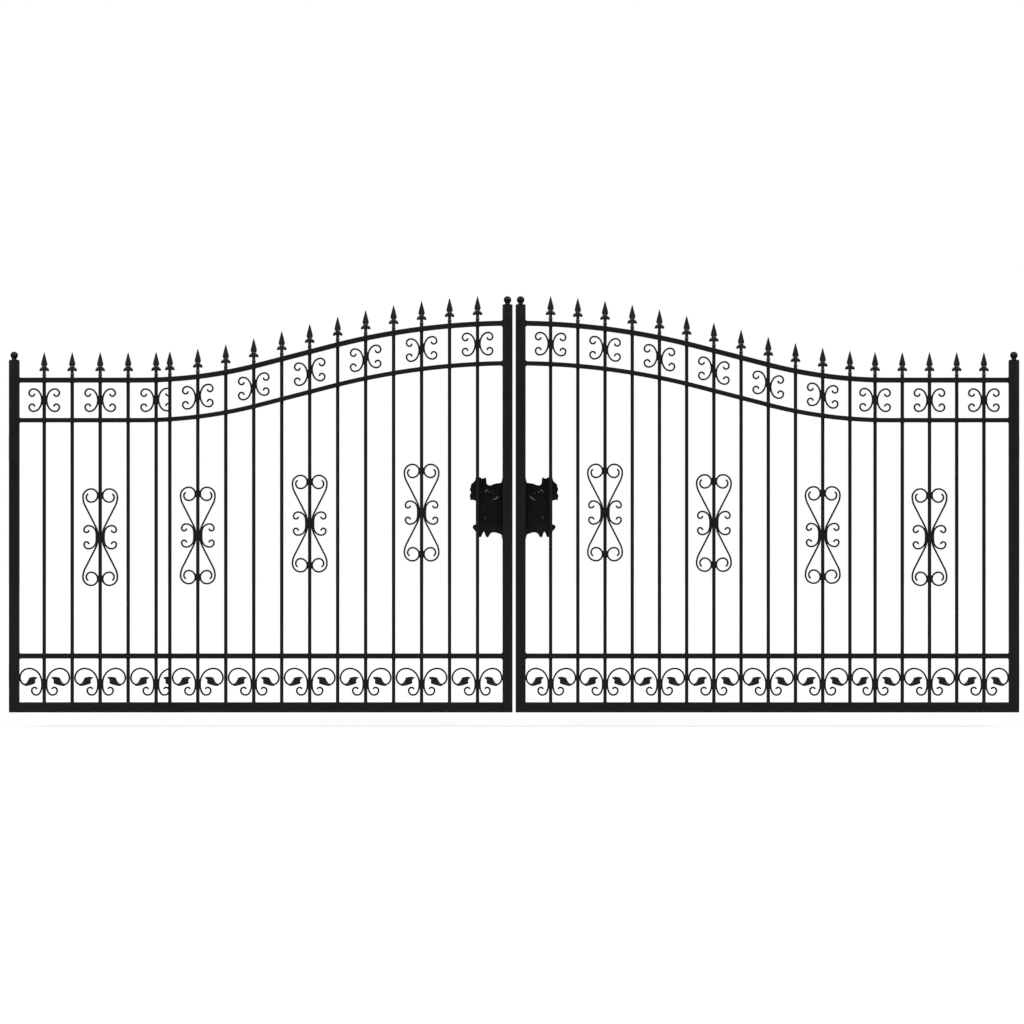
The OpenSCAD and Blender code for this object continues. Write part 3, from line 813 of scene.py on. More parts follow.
@dataclass(frozen=True)
class Spear:
    """Cast spear finial, drawn from its base."""

    blade: float = 0.0160
    blade_depth: float = 0.0064
    stem: float = 0.0083
    sunk: float = 0.003
    # (added radius, height) up the stem's bulb and throat
    stem_rows: tuple = ((0.0003, 0.0015), (-0.0001, 0.0035), (0.0004, 0.0052), (0.0016, 0.0072),
                        (0.0019, 0.0092), (0.0015, 0.0112), (0.0004, 0.0135), (-0.0002, 0.016),
                        (-0.0003, 0.023), (0.0, 0.030), (0.0006, 0.040), (0.0007, 0.047),
                        (0.0002, 0.052))
    # (height, share of the blade's width, share of its depth)
    blade_rows: tuple = ((0.0475, 0.60, 0.95), (0.0505, 0.64, 1.0), (0.0540, 0.80, 1.0),
                         (0.0575, 0.95, 0.98), (0.0610, 1.0, 0.95), (0.0650, 0.97, 0.93),
                         (0.0720, 0.88, 0.88), (0.0800, 0.76, 0.80), (0.0890, 0.61, 0.70),
                         (0.0980, 0.465, 0.58), (0.1060, 0.33, 0.46), (0.1130, 0.21, 0.32),
                         (0.1190, 0.10, 0.18), (0.1230, 0.01, 0.02))
    # a quarter of the blade's section, from its edge to its ridge
    quarter: tuple = ((1, 0), (0.72, 0.20), (0.42, 0.42), (0.12, 0.86))
    # (distance out, height, radius up, radius back) along a barb
    barb_rows: tuple = ((0.000, 0.0420, 0.0080, 0.0070), (0.0050, 0.0415, 0.0090, 0.0070),
                        (0.0095, 0.0395, 0.0094, 0.0066), (0.0140, 0.0365, 0.0086, 0.0058),
                        (0.0176, 0.0337, 0.0074, 0.0050), (0.0203, 0.0312, 0.0056, 0.0040),
                        (0.0220, 0.0293, 0.0034, 0.0026), (0.0230, 0.0280, 0.0008, 0.0008))

    def _stem(self) -> bpy.types.Mesh:
        """The turned stem with a bulb above the rail and a throat under the blade."""
        outline = [(0, -self.sunk), (self.stem + 0.0004, -self.sunk),
                   *((self.stem + more, z) for more, z in self.stem_rows),
                   (self.stem * 0.7, 0.057), (0, 0.060)]
        return turned("spear_stem", outline, 20)

    def _blade(self) -> bpy.types.Mesh:
        """The long blade: four faces that meet in ridges."""
        q = self.quarter
        section = [*q, (0, 1), *((-x, y) for x, y in reversed(q[1:])),
                   (-1, 0), *((-x, -y) for x, y in q[1:]),
                   (0, -1), *((x, -y) for x, y in reversed(q[1:]))]
        loops = [[Vector((self.blade * wide * x, self.blade_depth * deep * y, z))
                  for x, y in section] for z, wide, deep in self.blade_rows]
        return lofted("spear_blade", loops)

    def _barb(self, way: int) -> bpy.types.Mesh:
        """One drooping barb, way 1 to the right and -1 to the left."""
        points = [Vector((way * x, 0.0, z)) for x, z, _, _ in self.barb_rows]
        sizes = [(up, back) for _, _, up, back in self.barb_rows]
        return swept("spear_barb", points, sizes, BACKWARDS, 12)

    def build(self) -> bpy.types.Mesh:
        """The whole spear."""
        return joined("spear", [self._stem(), self._blade(), self._barb(1), self._barb(-1)])


@dataclass(frozen=True)
class BallCap:
    """Pressed cap plate with a neck and a ball, drawn from the stile's open end."""

    side: float = 0.05
    ball_r: float = 0.019
    lift: float = 0.023
    neck: float = 0.012
    plate: float = 0.004

    def build(self) -> bpy.types.Mesh:
        """The cap, with its plate's underside at z = 0."""
        half, t = self.side / 2, self.plate
        rows = [(half - 0.0006, 0.0), (half, 0.0006), (half, t * 0.55), (half - 0.0012, t * 0.9),
                (half - 0.0035, t), (half * 0.45, t + 0.0012)]
        plate = lofted("cap_plate", [rounded_square(h, z, min(0.004, h * 0.5)) for h, z in rows])
        neck = self.neck
        centre = t + self.lift
        first = math.asin(neck / self.ball_r)
        arc = [(self.ball_r * math.sin(a), centre - self.ball_r * math.cos(a)) for a in
               np.linspace(first, math.pi - 0.06, 24)]
        outline = [(0, t - 0.001), (neck + 0.0042, t - 0.001), (neck + 0.0036, t + 0.0016),
                   (neck + 0.0008, t + 0.0034), (neck, t + 0.0056), *arc,
                   (0, centre + self.ball_r)]
        return joined("ball_cap", [plate, turned("cap_ball", outline, 36)])


@dataclass(frozen=True)
class WeldCollar:
    """Fillet of weld round a picket where it meets a rail, drawn up from the rail's face."""

    picket: float = 0.008
    reach: float = 0.0036

    def build(self, seed: int) -> bpy.types.Mesh:
        """One collar.

        Args:
            seed: Chooses the unevenness of the bead.

        Returns:
            The mesh.
        """
        rows = [(1.0, -0.0008), (0.96, 0.0004), (0.60, 0.0010), (0.32, 0.0021), (0.12, 0.0034),
                (-0.06, 0.0048)]
        loops = []
        for wide, z in rows:
            loop = rounded_square(self.picket + self.reach * wide, z, 0.0028, 3)
            for p in loop:
                shake = noise.noise(p * 260.0 + Vector((seed * 7.3, 0.0, 0.0)))
                grow = 1.0 + 0.045 * shake * max(wide, 0.0)
                p.x, p.y = p.x * grow, p.y * grow
            loops.append(loop)
        return lofted(f"weld_collar_{seed}", loops)


def weld_bead(seed: int) -> bpy.types.Mesh:
    """A short uneven bead of weld of unit size, which fills a crevice.

    Args:
        seed: Chooses its unevenness.

    Returns:
        The mesh.
    """
    shape = bmesh.new()
    bmesh.ops.create_uvsphere(shape, u_segments=12, v_segments=8, radius=1.0)
    for vert in shape.verts:
        shake = noise.noise(vert.co * 1.7 + Vector((seed * 3.1, 1.7, 0.4)))
        vert.co *= 1.0 + 0.16 * shake
    for face in shape.faces:
        face.smooth = True
    mesh = bpy.data.meshes.new(f"weld_bead_{seed}")
    shape.to_mesh(mesh)
    shape.free()
    return mesh


# ---------------------------------------------------------------- the gate


@dataclass
class Scrolls:
    """Sizes and paths of the scroll bars, from the picket's centre outwards."""

    bar: float = 0.007
    drawn: float = 0.0085
    depth: float = 0.012
    corner: float = 0.0012
    seat: float = 0.0083
    c_reach: float = 0.045
    panel_height: float = 0.870
    c_half: tuple = ((0.070, -35), (0.036, -55), (0.021, -90), (0.015, -90), (0.0115, -100))
    panel_half: tuple = ((0, 0.008), (0.100, -27), (0, 0.117), (0.090, 27), (0.041, 90),
                         (0.0324, 90), (0.033, 90), (0.024, 90), (0.019, 65))
    inner_half: tuple = ((0, 0.008), (0.0927, -12), (0.038, -78), (0.022, -90), (0.012, -90),
                         (0.0125, -90))
    vine_low: float = 0.138
    vine_up: tuple = ((0, 0.007), (0.080, -35), (0.0635, -55), (0.0467, -90), (0.036, -62))
    vine_down: tuple = ((0, 0.005), (0.070, 30), (0.0237, 60), (0.0226, 90), (0.015, 90),
                        (0.012, 75))
    vine_wide: float = 0.1165
    # (distance from the picket's face, height, half sizes) of the weld beads on each family
    band_beads: tuple = tuple((0.0008, up * 0.0150, (0.0020, 0.0050, 0.0085)) for up in (-1, 1))
    panel_beads: tuple = tuple(
        (out, up * height, size) for up in (-1, 1) for out, height, size in (
            (0.0010, 0.0175, (0.0020, 0.0050, 0.0065)),
            (0.0016, 0.1970, (0.0028, 0.0050, 0.0075)),
            (0.0016, 0.2170, (0.0028, 0.0050, 0.0075))))
    vine_beads: tuple = ((0.0008, 0.1240, (0.0020, 0.0050, 0.0080)),
                         (0.0008, 0.1560, (0.0020, 0.0050, 0.0085)))

    @property
    def back(self) -> float:
        """Distance of a scroll's centre line from the picket's centre where it is welded."""
        return self.seat + self.bar / 2

    def symmetric(self, x: float, half: Sequence[Point2]) -> list[Station]:
        """A scroll whose lower half mirrors its upper half."""
        up = walk((x, 0.0), 90.0, half)
        return [*mirrored(up), *([] if half[0][0] == 0 else [(x, 0.0, 90.0)]), *up]

    def band(self) -> list[Station]:
        """The C scroll between the two arched rails."""
        return self.symmetric(self.back, self.c_half)

    def panel(self) -> list[Station]:
        """The tall outer bar of a panel scroll."""
        return self.symmetric(self.back, self.panel_half)

    def inner(self) -> list[Station]:
        """The C scroll nested in a panel scroll's waist."""
        return self.symmetric(self.back + self.bar + SEAT_GAP, self.inner_half)

    def vine(self) -> list[Station]:
        """The vine scroll above the bottom rail, from its lower curl to its leaf."""
        start = (self.back, self.vine_low)
        return [*backwards(walk(start, 270.0, self.vine_down)), *walk(start, 90.0, self.vine_up)]

    def tapers(self, count: int, leaf_end: bool = False) -> list[float]:
        """Relative thickness along a scroll, drawn down at its free ends.

        Args:
            count: How many stations it has.
            leaf_end: Whether the far end runs on into a leaf.

        Returns:
            One value per station.
        """
        ends = (0.55, 0.82, 0.95)
        values = [1.0] * count
        for i, value in enumerate(ends):
            values[i] = value
            if not leaf_end:
                values[-1 - i] = value
        return values


@dataclass
class Leaf:
    """One leaf of the gate: hand is -1 for the left leaf and 1 for the right one."""

    hand: int
    grower: Grower
    arch: Arch = field(default_factory=Arch)
    scrolls: Scrolls = field(default_factory=Scrolls)
    stile: float = 0.05
    picket: float = 0.016
    picket_extra: float = 0.0008
    picket_sink: float = 0.001
    band_drop: float = 0.199
    panel_rise: float = 0.48
    cut_share: float = 0.8
    # half sizes of the weld beads at a rail's end, across and up
    end_bead: Point2 = (0.0055, 0.0050)
    end_bead_reach: float = 0.46

    def __post_init__(self) -> None:
        """Read the leaf's own places from the frame."""
        self.name = "left" if self.hand < 0 else "right"
        self.body = f"{self.name}_leaf"
        low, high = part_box(f"{self.name}_hinge_stile")
        self.hinge_x = (low.x + high.x) / 2
        self.rods = islands(f"{self.name}_pickets")
        self.rod_x = [(a.x + b.x) / 2 for a, b in self.rods]
        rail_low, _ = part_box(f"{self.name}_top_rail")
        band_low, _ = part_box(f"{self.name}_band_rail")
        low_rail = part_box(f"{self.name}_lower_rail")
        self.rail_t = low_rail[1].z - low_rail[0].z
        self.rail_d = low_rail[1].y - low_rail[0].y
        self.lower_z = (low_rail[0].z + low_rail[1].z) / 2
        self.rail_z = rail_low.z + self.rail_t / 2
        self.band_t = 2 * (self.rail_z - self.band_drop - band_low.z)
        stiles = (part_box(f"{self.name}_{part}") for part in ("hinge_stile", "meeting_stile"))
        self.faces = sorted((low.x, high.x) for low, high in stiles)

    def s(self, x: float) -> float:
        """Distance along the leaf, from the hinge stile, of a place along the gate."""
        return abs(x - self.hinge_x)

    def tilt(self, x: float) -> float:
        """Angle of the arched rails at x, in radians, rising towards +X if positive."""
        return -self.hand * math.atan(self.arch.slope(self.s(x)))

    def add(self, part: str, mesh: bpy.types.Mesh, finish: Finish, node: str | None = None,
            sharp: float | None = 40.0) -> bpy.types.Object:
        """Put a finished piece on this leaf.

        Args:
            part: The piece's name, without the leaf's.
            mesh: Its mesh, in place.
            finish: Its finish.
            node: The CAD node that it stands for, if any.
            sharp: Edges sharper than this many degrees stay sharp, if given.

        Returns:
            The piece.
        """
        return add_piece(f"{self.name}_{part}", mesh, finish, self.body,
                         f"{self.name}_{node}" if node else None, sharp)

    # -- frame of the leaf

    def build_frame(self) -> None:
        """Stiles, straight rails, caps and plugs, with rounded tube corners."""
        for part in ("hinge_stile", "meeting_stile", "bottom_rail"):
            self.add(part + "_tube", softened(f"{self.name}_{part}", 0.0035, 3), Finish.PAINTED,
                     part)
        self.add("stile_plug_pair", softened(f"{self.name}_stile_plugs", 0.0008), Finish.PLASTIC,
                 "stile_plugs")
        ends = self.faces[0][1], self.faces[1][0]
        self._rail("lower", self.lower_z, self.rail_t, None, ends)
        self._rail("band", self.rail_z - self.band_drop, self.band_t, self.arch, ends)
        self._rail("top", self.rail_z, self.rail_t, self.arch, ends)
        self._rail_welds(ends)
        self._caps()

    def _rail(self, part: str, height: float, thick: float, arch: Arch | None,
              ends: Point2) -> None:
        """One rail between the stiles, level or arched.

        Args:
            part: The rail's name.
            height: Height of its centre line, where it is level.
            thick: Its height across.
            arch: The curve that it follows, if any.
            ends: The faces of the stiles that it butts on.
        """
        near, far = sorted(self.s(x) for x in ends)
        line = (arch.line(near, far, height) if arch
                else [(near, height, 0.0), (far, height, 0.0)])
        placed = [(self.hinge_x - self.hand * x, z, h) for x, z, h in line]
        mesh = self.grower.run(
            self.grower.bar, path_mesh(part, placed, [1.0] * len(placed)), f"{part}_rail_bar",
            {"Thickness": thick, "Depth": self.rail_d, "Corner": 0.0028,
             "Finish": Finish.PAINTED.material})
        self.add(f"{part}_rail_tube", mesh, Finish.PAINTED, f"{part}_rail")

    def _rail_welds(self, ends: Point2) -> None:
        """Beads of weld above and below every rail where it butts on a stile."""
        across, up = self.end_bead
        places = []
        for x in ends:
            rise = self.arch.rise(self.s(x))
            for height, thick in ((self.lower_z, self.rail_t),
                                  (self.rail_z - self.band_drop + rise, self.band_t),
                                  (self.rail_z + rise, self.rail_t)):
                places += [(x, 0.0, height - thick / 2), (x, 0.0, height + thick / 2)]
        mesh = self.copies(weld_bead(5), places, Finish.PAINTED, None,
                           [(across, self.rail_d * self.end_bead_reach, up)] * len(places))
        self.add("rail_end_welds", mesh, Finish.PAINTED, None, None)

    def _caps(self) -> None:
        """The ball caps on both stiles."""
        cap = BallCap()
        places = [((low.x + high.x) / 2, 0.0, high.z - cap.lift - cap.ball_r - cap.plate)
                  for low, high in islands(f"{self.name}_ball_caps")]
        mesh = self.copies(cap.build(), places, Finish.CAST)
        self.add("ball_cap_pair", mesh, Finish.CAST, "ball_caps")

    def copies(self, prototype: bpy.types.Mesh, places: Sequence[Sequence[float]], finish: Finish,
               turns: Sequence[Sequence[float]] | None = None,
               sizes: Sequence[Sequence[float]] | None = None) -> bpy.types.Mesh:
        """Copies of a mesh on points, as one mesh.

        Args:
            prototype: The mesh that is copied, which is removed afterwards.
            places: Where the copies go.
            finish: Their finish.
            turns: Rotation of each, in radians about X, Y and Z.
            sizes: Scale of each.

        Returns:
            The joined copies.
        """
        pattern = link_object(prototype.name + "_pattern", prototype)
        points = point_mesh("places", places, {
            "turn": turns or [(0.0, 0.0, 0.0)] * len(places),
            "size": sizes or [(1.0, 1.0, 1.0)] * len(places)})
        mesh = self.grower.run(self.grower.copies, points, prototype.name + "_copies",
                               {"Piece": pattern, "Finish": finish.material})
        bpy.data.objects.remove(pattern)
        bpy.data.meshes.remove(prototype)
        return mesh

    # -- pickets and their welds

    def build_pickets(self) -> None:
        """Square pickets, the spears on them and the welds at every rail."""
        low = self.rods[0][0].z
        places = [(x, 0.0, low - self.picket_sink) for x in self.rod_x]
        sizes = [(1.0, 1.0, top.z - low + self.picket_sink) for _, top in self.rods]
        mesh = self.grower.run(
            self.grower.rods, point_mesh("rods", places, {"size": sizes}), "picket_bars",
            {"Thickness": self.picket + self.picket_extra, "Depth": self.picket, "Corner": 0.0014,
             "Finish": Finish.PAINTED.material})
        self.add("picket_bars", mesh, Finish.PAINTED, "pickets")
        tips = [(x, 0.0, top.z) for x, (_, top) in zip(self.rod_x, self.rods)]
        self.add("spear_heads", self.copies(Spear().build(), tips, Finish.FORGED), Finish.FORGED,
                 "spear_finials", 50.0)
        self._collars()

    def _collars(self) -> None:
        """Weld collars above and below every rail that a picket passes."""
        spots: list[tuple[Sequence[float], Sequence[float]]] = []
        for x in self.rod_x:
            lean = self.tilt(x)
            rise = self.arch.rise(self.s(x))
            spots.append(((x, 0.0, self.stile), (0.0, 0.0, 0.0)))
            rails = ((self.lower_z, self.rail_t, 0.0, 0.0),
                     (self.rail_z - self.band_drop, self.band_t, rise, lean),
                     (self.rail_z, self.rail_t, rise, lean))
            for height, thick, up, angle in rails:
                half = thick / 2 / math.cos(angle)
                spots.append(((x, 0.0, height + up + half), (0.0, -angle, 0.0)))
                spots.append(((x, 0.0, height + up - half), (math.pi, -angle, 0.0)))
        meshes = [self.copies(WeldCollar().build(seed), [place for place, _ in part],
                              Finish.PAINTED, [turn for _, turn in part])
                  for seed, part in self._kinds(spots)]
        self.add("picket_welds", joined("picket_welds", meshes), Finish.PAINTED, None, 60.0)

    @staticmethod
    def _kinds(spots: Sequence, count: int = 3) -> list[tuple[int, Sequence]]:
        """Share out weld spots in turn between a few uneven beads, each with its seed."""
        return [(seed, spots[seed::count]) for seed in range(count)]

    # -- scrolls

    def _bar(self, name: str, line: Sequence[Station], leaf_end: bool = False) -> bpy.types.Mesh:
        """A scroll bar along a path, about the picket's centre."""
        return self.grower.run(
            self.grower.bar, path_mesh(name, line, self.scrolls.tapers(len(line), leaf_end)),
            name, {"Thickness": self.scrolls.drawn, "Depth": self.scrolls.depth,
                   "Corner": self.scrolls.corner, "Finish": Finish.PAINTED.material})

    def free_width(self, x: float, way: int) -> float:
        """Width from a picket's centre to the face of what stands beside it.

        Args:
            x: The picket's centre.
            way: 1 towards +X, -1 towards -X.

        Returns:
            The free width.
        """
        walls = [c + d * self.picket / 2 for c in self.rod_x for d in (-1, 1)]
        walls += [v for pair in self.faces for v in pair]
        return min(abs(w - x) for w in walls if (w - x) * way > self.picket)

    def scroll_set(self, part: str, node: str, draw: Callable[[int, float], bpy.types.Mesh],
                   spots: Sequence[tuple[float, int, float]], finish: Finish) -> None:
        """Place a family of scrolls, cutting those that reach a neighbour.

        Args:
            part: The piece's name.
            node: The CAD node that it stands for.
            draw: Makes the mesh for a side and a narrowing, about the picket's centre.
            spots: (picket's centre, side, height) of each scroll.
            finish: The finish.
        """
        groups: dict[tuple[int, float, float], list[tuple[float, float]]] = {}
        reach = self.reach_of(node)
        for x, way, z in spots:
            free = self.free_width(x, way) - SEAT_GAP
            narrow, cut = 1.0, 0.0
            if free < self.cut_share * reach:
                cut = free
            elif free < reach:
                narrow = (free - self.scrolls.seat) / (reach - self.scrolls.seat)
            groups.setdefault((way, round(narrow, 4), round(cut, 5)), []).append((x, z))
        meshes = []
        for (way, narrow, cut), places in groups.items():
            mesh = draw(way, narrow)
            if cut:
                cut_mesh(mesh, way * cut, way)
            meshes.append(self.copies(mesh, [(x, 0.0, z) for x, z in places], finish))
        self.add(part, joined(part, meshes), finish, node)

    def reach_of(self, node: str) -> float:
        """Outermost distance of a scroll family from its picket's centre."""
        if node.startswith("vine"):
            return self.scrolls.seat + self.scrolls.bar / 2 + self.scrolls.vine_wide
        line = {"band_scrolls": self.scrolls.band, "panel_scrolls": self.scrolls.panel,
                "inner_scrolls": self.scrolls.inner}[node]()
        return max(p[0] for p in line) + self.scrolls.bar / 2

    def _sided(self, line: Sequence[Station], way: int, narrow: float) -> list[Station]:
        """A path turned to one side of its picket and narrowed."""
        seat = self.scrolls.seat
        return [(way * (seat + (x - seat) * narrow), z, h) for x, z, h in line]

    def build_scrolls(self) -> None:
        """All scroll bars, vine leaves and the welds that hold them."""
        order = sorted(self.rod_x, key=self.s)
        bearing = order[0::2]
        tall = order[2::4]
        sc = self.scrolls
        lines = {"band": sc.band(), "panel": sc.panel(), "inner": sc.inner(), "vine": sc.vine()}

        def bar_of(kind: str) -> Callable[[int, float], bpy.types.Mesh]:
            """A drawing function for one family of scrolls."""
            return lambda way, narrow: self._bar(kind, self._sided(lines[kind], way, narrow),
                                                 kind == "vine")

        band = [(x, way, self.rail_z + self.arch.rise(self.s(x)) - self.band_drop / 2
                 + way * sc.c_reach * math.tan(self.tilt(x)))
                for x in bearing for way in (-1, 1)]
        sides = [(x, way, sc.panel_height + self.panel_rise * self.arch.rise(self.s(x)))
                 for x in tall for way in (-1, 1)]
        low = [(x, way, 0.0) for x in bearing for way in (-1, 1)]
        for kind, spots in (("band", band), ("panel", sides), ("inner", sides), ("vine", low)):
            self.scroll_set(f"{kind}_scroll_bars", f"{kind}_scrolls", bar_of(kind), spots,
                            Finish.PAINTED)
        self.scroll_set("vine_leaf_set", "vine_leaves", VineLeaf(sc).build, low, Finish.FORGED)
        self._scroll_welds(band, sides, low)

    def _scroll_welds(self, band: Sequence, sides: Sequence, low: Sequence) -> None:
        """Short beads where the scrolls lie against their pickets."""
        beads: list[tuple[Sequence[float], Sequence[float]]] = []
        for spots, rows in ((band, self.scrolls.band_beads), (sides, self.scrolls.panel_beads),
                            (low, self.scrolls.vine_beads)):
            for x, way, z in spots:
                for out, up, size in rows:
                    beads.append(((x + way * (self.picket / 2 + out), 0.0, z + up), size))
        meshes = [self.copies(weld_bead(seed), [place for place, _ in part], Finish.PAINTED, None,
                              [size for _, size in part])
                  for seed, part in self._kinds(beads)]
        self.add("scroll_welds", joined("scroll_welds", meshes), Finish.PAINTED, None, None)

    # -- hardware

    def build_hardware(self) -> None:
        """The lock plate and the hinge eyes."""
        # The lock plate takes the darker cast finish, whose colour carries painted shade.
        self.add("lock_casting", LockPlate(self).build(), Finish.CAST, "lock_plate", 45.0)
        self.add("hinge_eye_pair", softened(f"{self.name}_hinge_eyes", 0.0012), Finish.PAINTED,
                 "hinge_eyes")

    def build(self) -> None:
        """The whole leaf."""
        self.build_frame()
        self.build_pickets()
        self.build_scrolls()
        self.build_hardware()


@dataclass
class VineLeaf:
    """The lobed leaf at the end of a vine scroll, cupped, with a midrib."""

    scrolls: Scrolls
    edge_y: float = 0.0014
    body_y: float = 0.0042
    swell: float = 1.14
    # (pull towards the rib, share of the depth) of the cupped rows
    cup_rows: tuple = ((0.16, 0.72), (0.45, 1.0), (0.78, 0.72), (0.93, 0.95))
    lobes: tuple = ((0.096, 0.1315), (0.084, 0.133), (0.067, 0.138), (0.052, 0.1435),
                    (0.0465, 0.149), (0.0475, 0.1555), (0.0445, 0.164), (0.0345, 0.1715),
                    (0.041, 0.175), (0.052, 0.176), (0.063, 0.174), (0.0735, 0.1715),
                    (0.078, 0.1685), (0.079, 0.164), (0.0845, 0.1555), (0.091, 0.147),
                    (0.097, 0.143))
    rib: tuple = ((0.1055, 0.1395), (0.090, 0.1400), (0.072, 0.1500), (0.056, 0.1620),
                  (0.040, 0.1712))

    def build(self, way: int, narrow: float) -> bpy.types.Mesh:
        """The leaf on one side of its picket.

        Args:
            way: 1 towards +X, -1 towards -X.
            narrow: How far the vine is narrowed.

        Returns:
            The mesh.
        """
        end = walk((self.scrolls.back, self.scrolls.vine_low), 90.0, self.scrolls.vine_up)[-1]
        turn = math.radians(end[2])
        across = (-math.sin(turn) * self.scrolls.bar / 2, math.cos(turn) * self.scrolls.bar / 2)
        full = [(q[0] + (p[0] - q[0]) * self.swell, q[1] + (p[1] - q[1]) * self.swell)
                for p, q in ((p, nearest_on(self.rib, p)) for p in self.lobes)]
        ring = smooth_loop([(end[0] + across[0], end[1] + across[1]), *full,
                            (end[0] - across[0], end[1] - across[1])], 3)
        near = [(p, nearest_on(self.rib, p)) for p in ring]
        depths = [(0.0, self.edge_y), *((pull, self.body_y * deep) for pull, deep in self.cup_rows)]
        rows = [[(p[0] + (q[0] - p[0]) * pull, y, p[1] + (q[1] - p[1]) * pull) for p, q in near]
                for pull, y in depths]
        seat = self.scrolls.seat
        count = len(ring)
        points, faces = [], []
        for face_way in (-1, 1):
            for row in rows:
                points += [(way * (seat + (x - seat) * narrow), face_way * y, z)
                           for x, y, z in row]
        for half in (0, 1):
            base = half * len(rows) * count
            for k in range(len(rows) - 1):
                for i in range(count):
                    j = (i + 1) % count
                    a, b = base + k * count, base + (k + 1) * count
                    faces.append([a + i, a + j, b + j, b + i])
            top = base + (len(rows) - 1) * count
            faces.append([top + i for i in range(count)])
        other = len(rows) * count
        for i in range(count):
            j = (i + 1) % count
            faces.append([i, j, other + j, other + i])
        return mesh_from("vine_leaf", points, faces)


def smooth_loop(points: Sequence[Point2], steps: int) -> list[Point2]:
    """Round off a closed outline with a Catmull-Rom curve through its points.

    Args:
        points: The outline.
        steps: Steps between two points.

    Returns:
        The finer outline.
    """
    count, result = len(points), []
    for i in range(count):
        p = [np.array(points[(i + k) % count]) for k in (-1, 0, 1, 2)]
        for j in range(steps):
            t = j / steps
            q = 0.5 * (2 * p[1] + (p[2] - p[0]) * t
                       + (2 * p[0] - 5 * p[1] + 4 * p[2] - p[3]) * t ** 2
                       + (3 * p[1] - p[0] - 3 * p[2] + p[3]) * t ** 3)
            result.append((float(q[0]), float(q[1])))
    return result


def nearest_on(line: Sequence[Point2], point: Point2) -> Point2:
    """The point of an open line that lies nearest to a given point."""
    best, found = math.inf, line[0]
    p = np.array(point)
    for a, b in zip(line, line[1:]):
        start, run = np.array(a), np.array(b) - np.array(a)
        t = float(np.clip((p - start) @ run / (run @ run), 0.0, 1.0))
        q = start + run * t
        gap = float(np.linalg.norm(p - q))
        if gap < best:
            best, found = gap, (float(q[0]), float(q[1]))
    return found


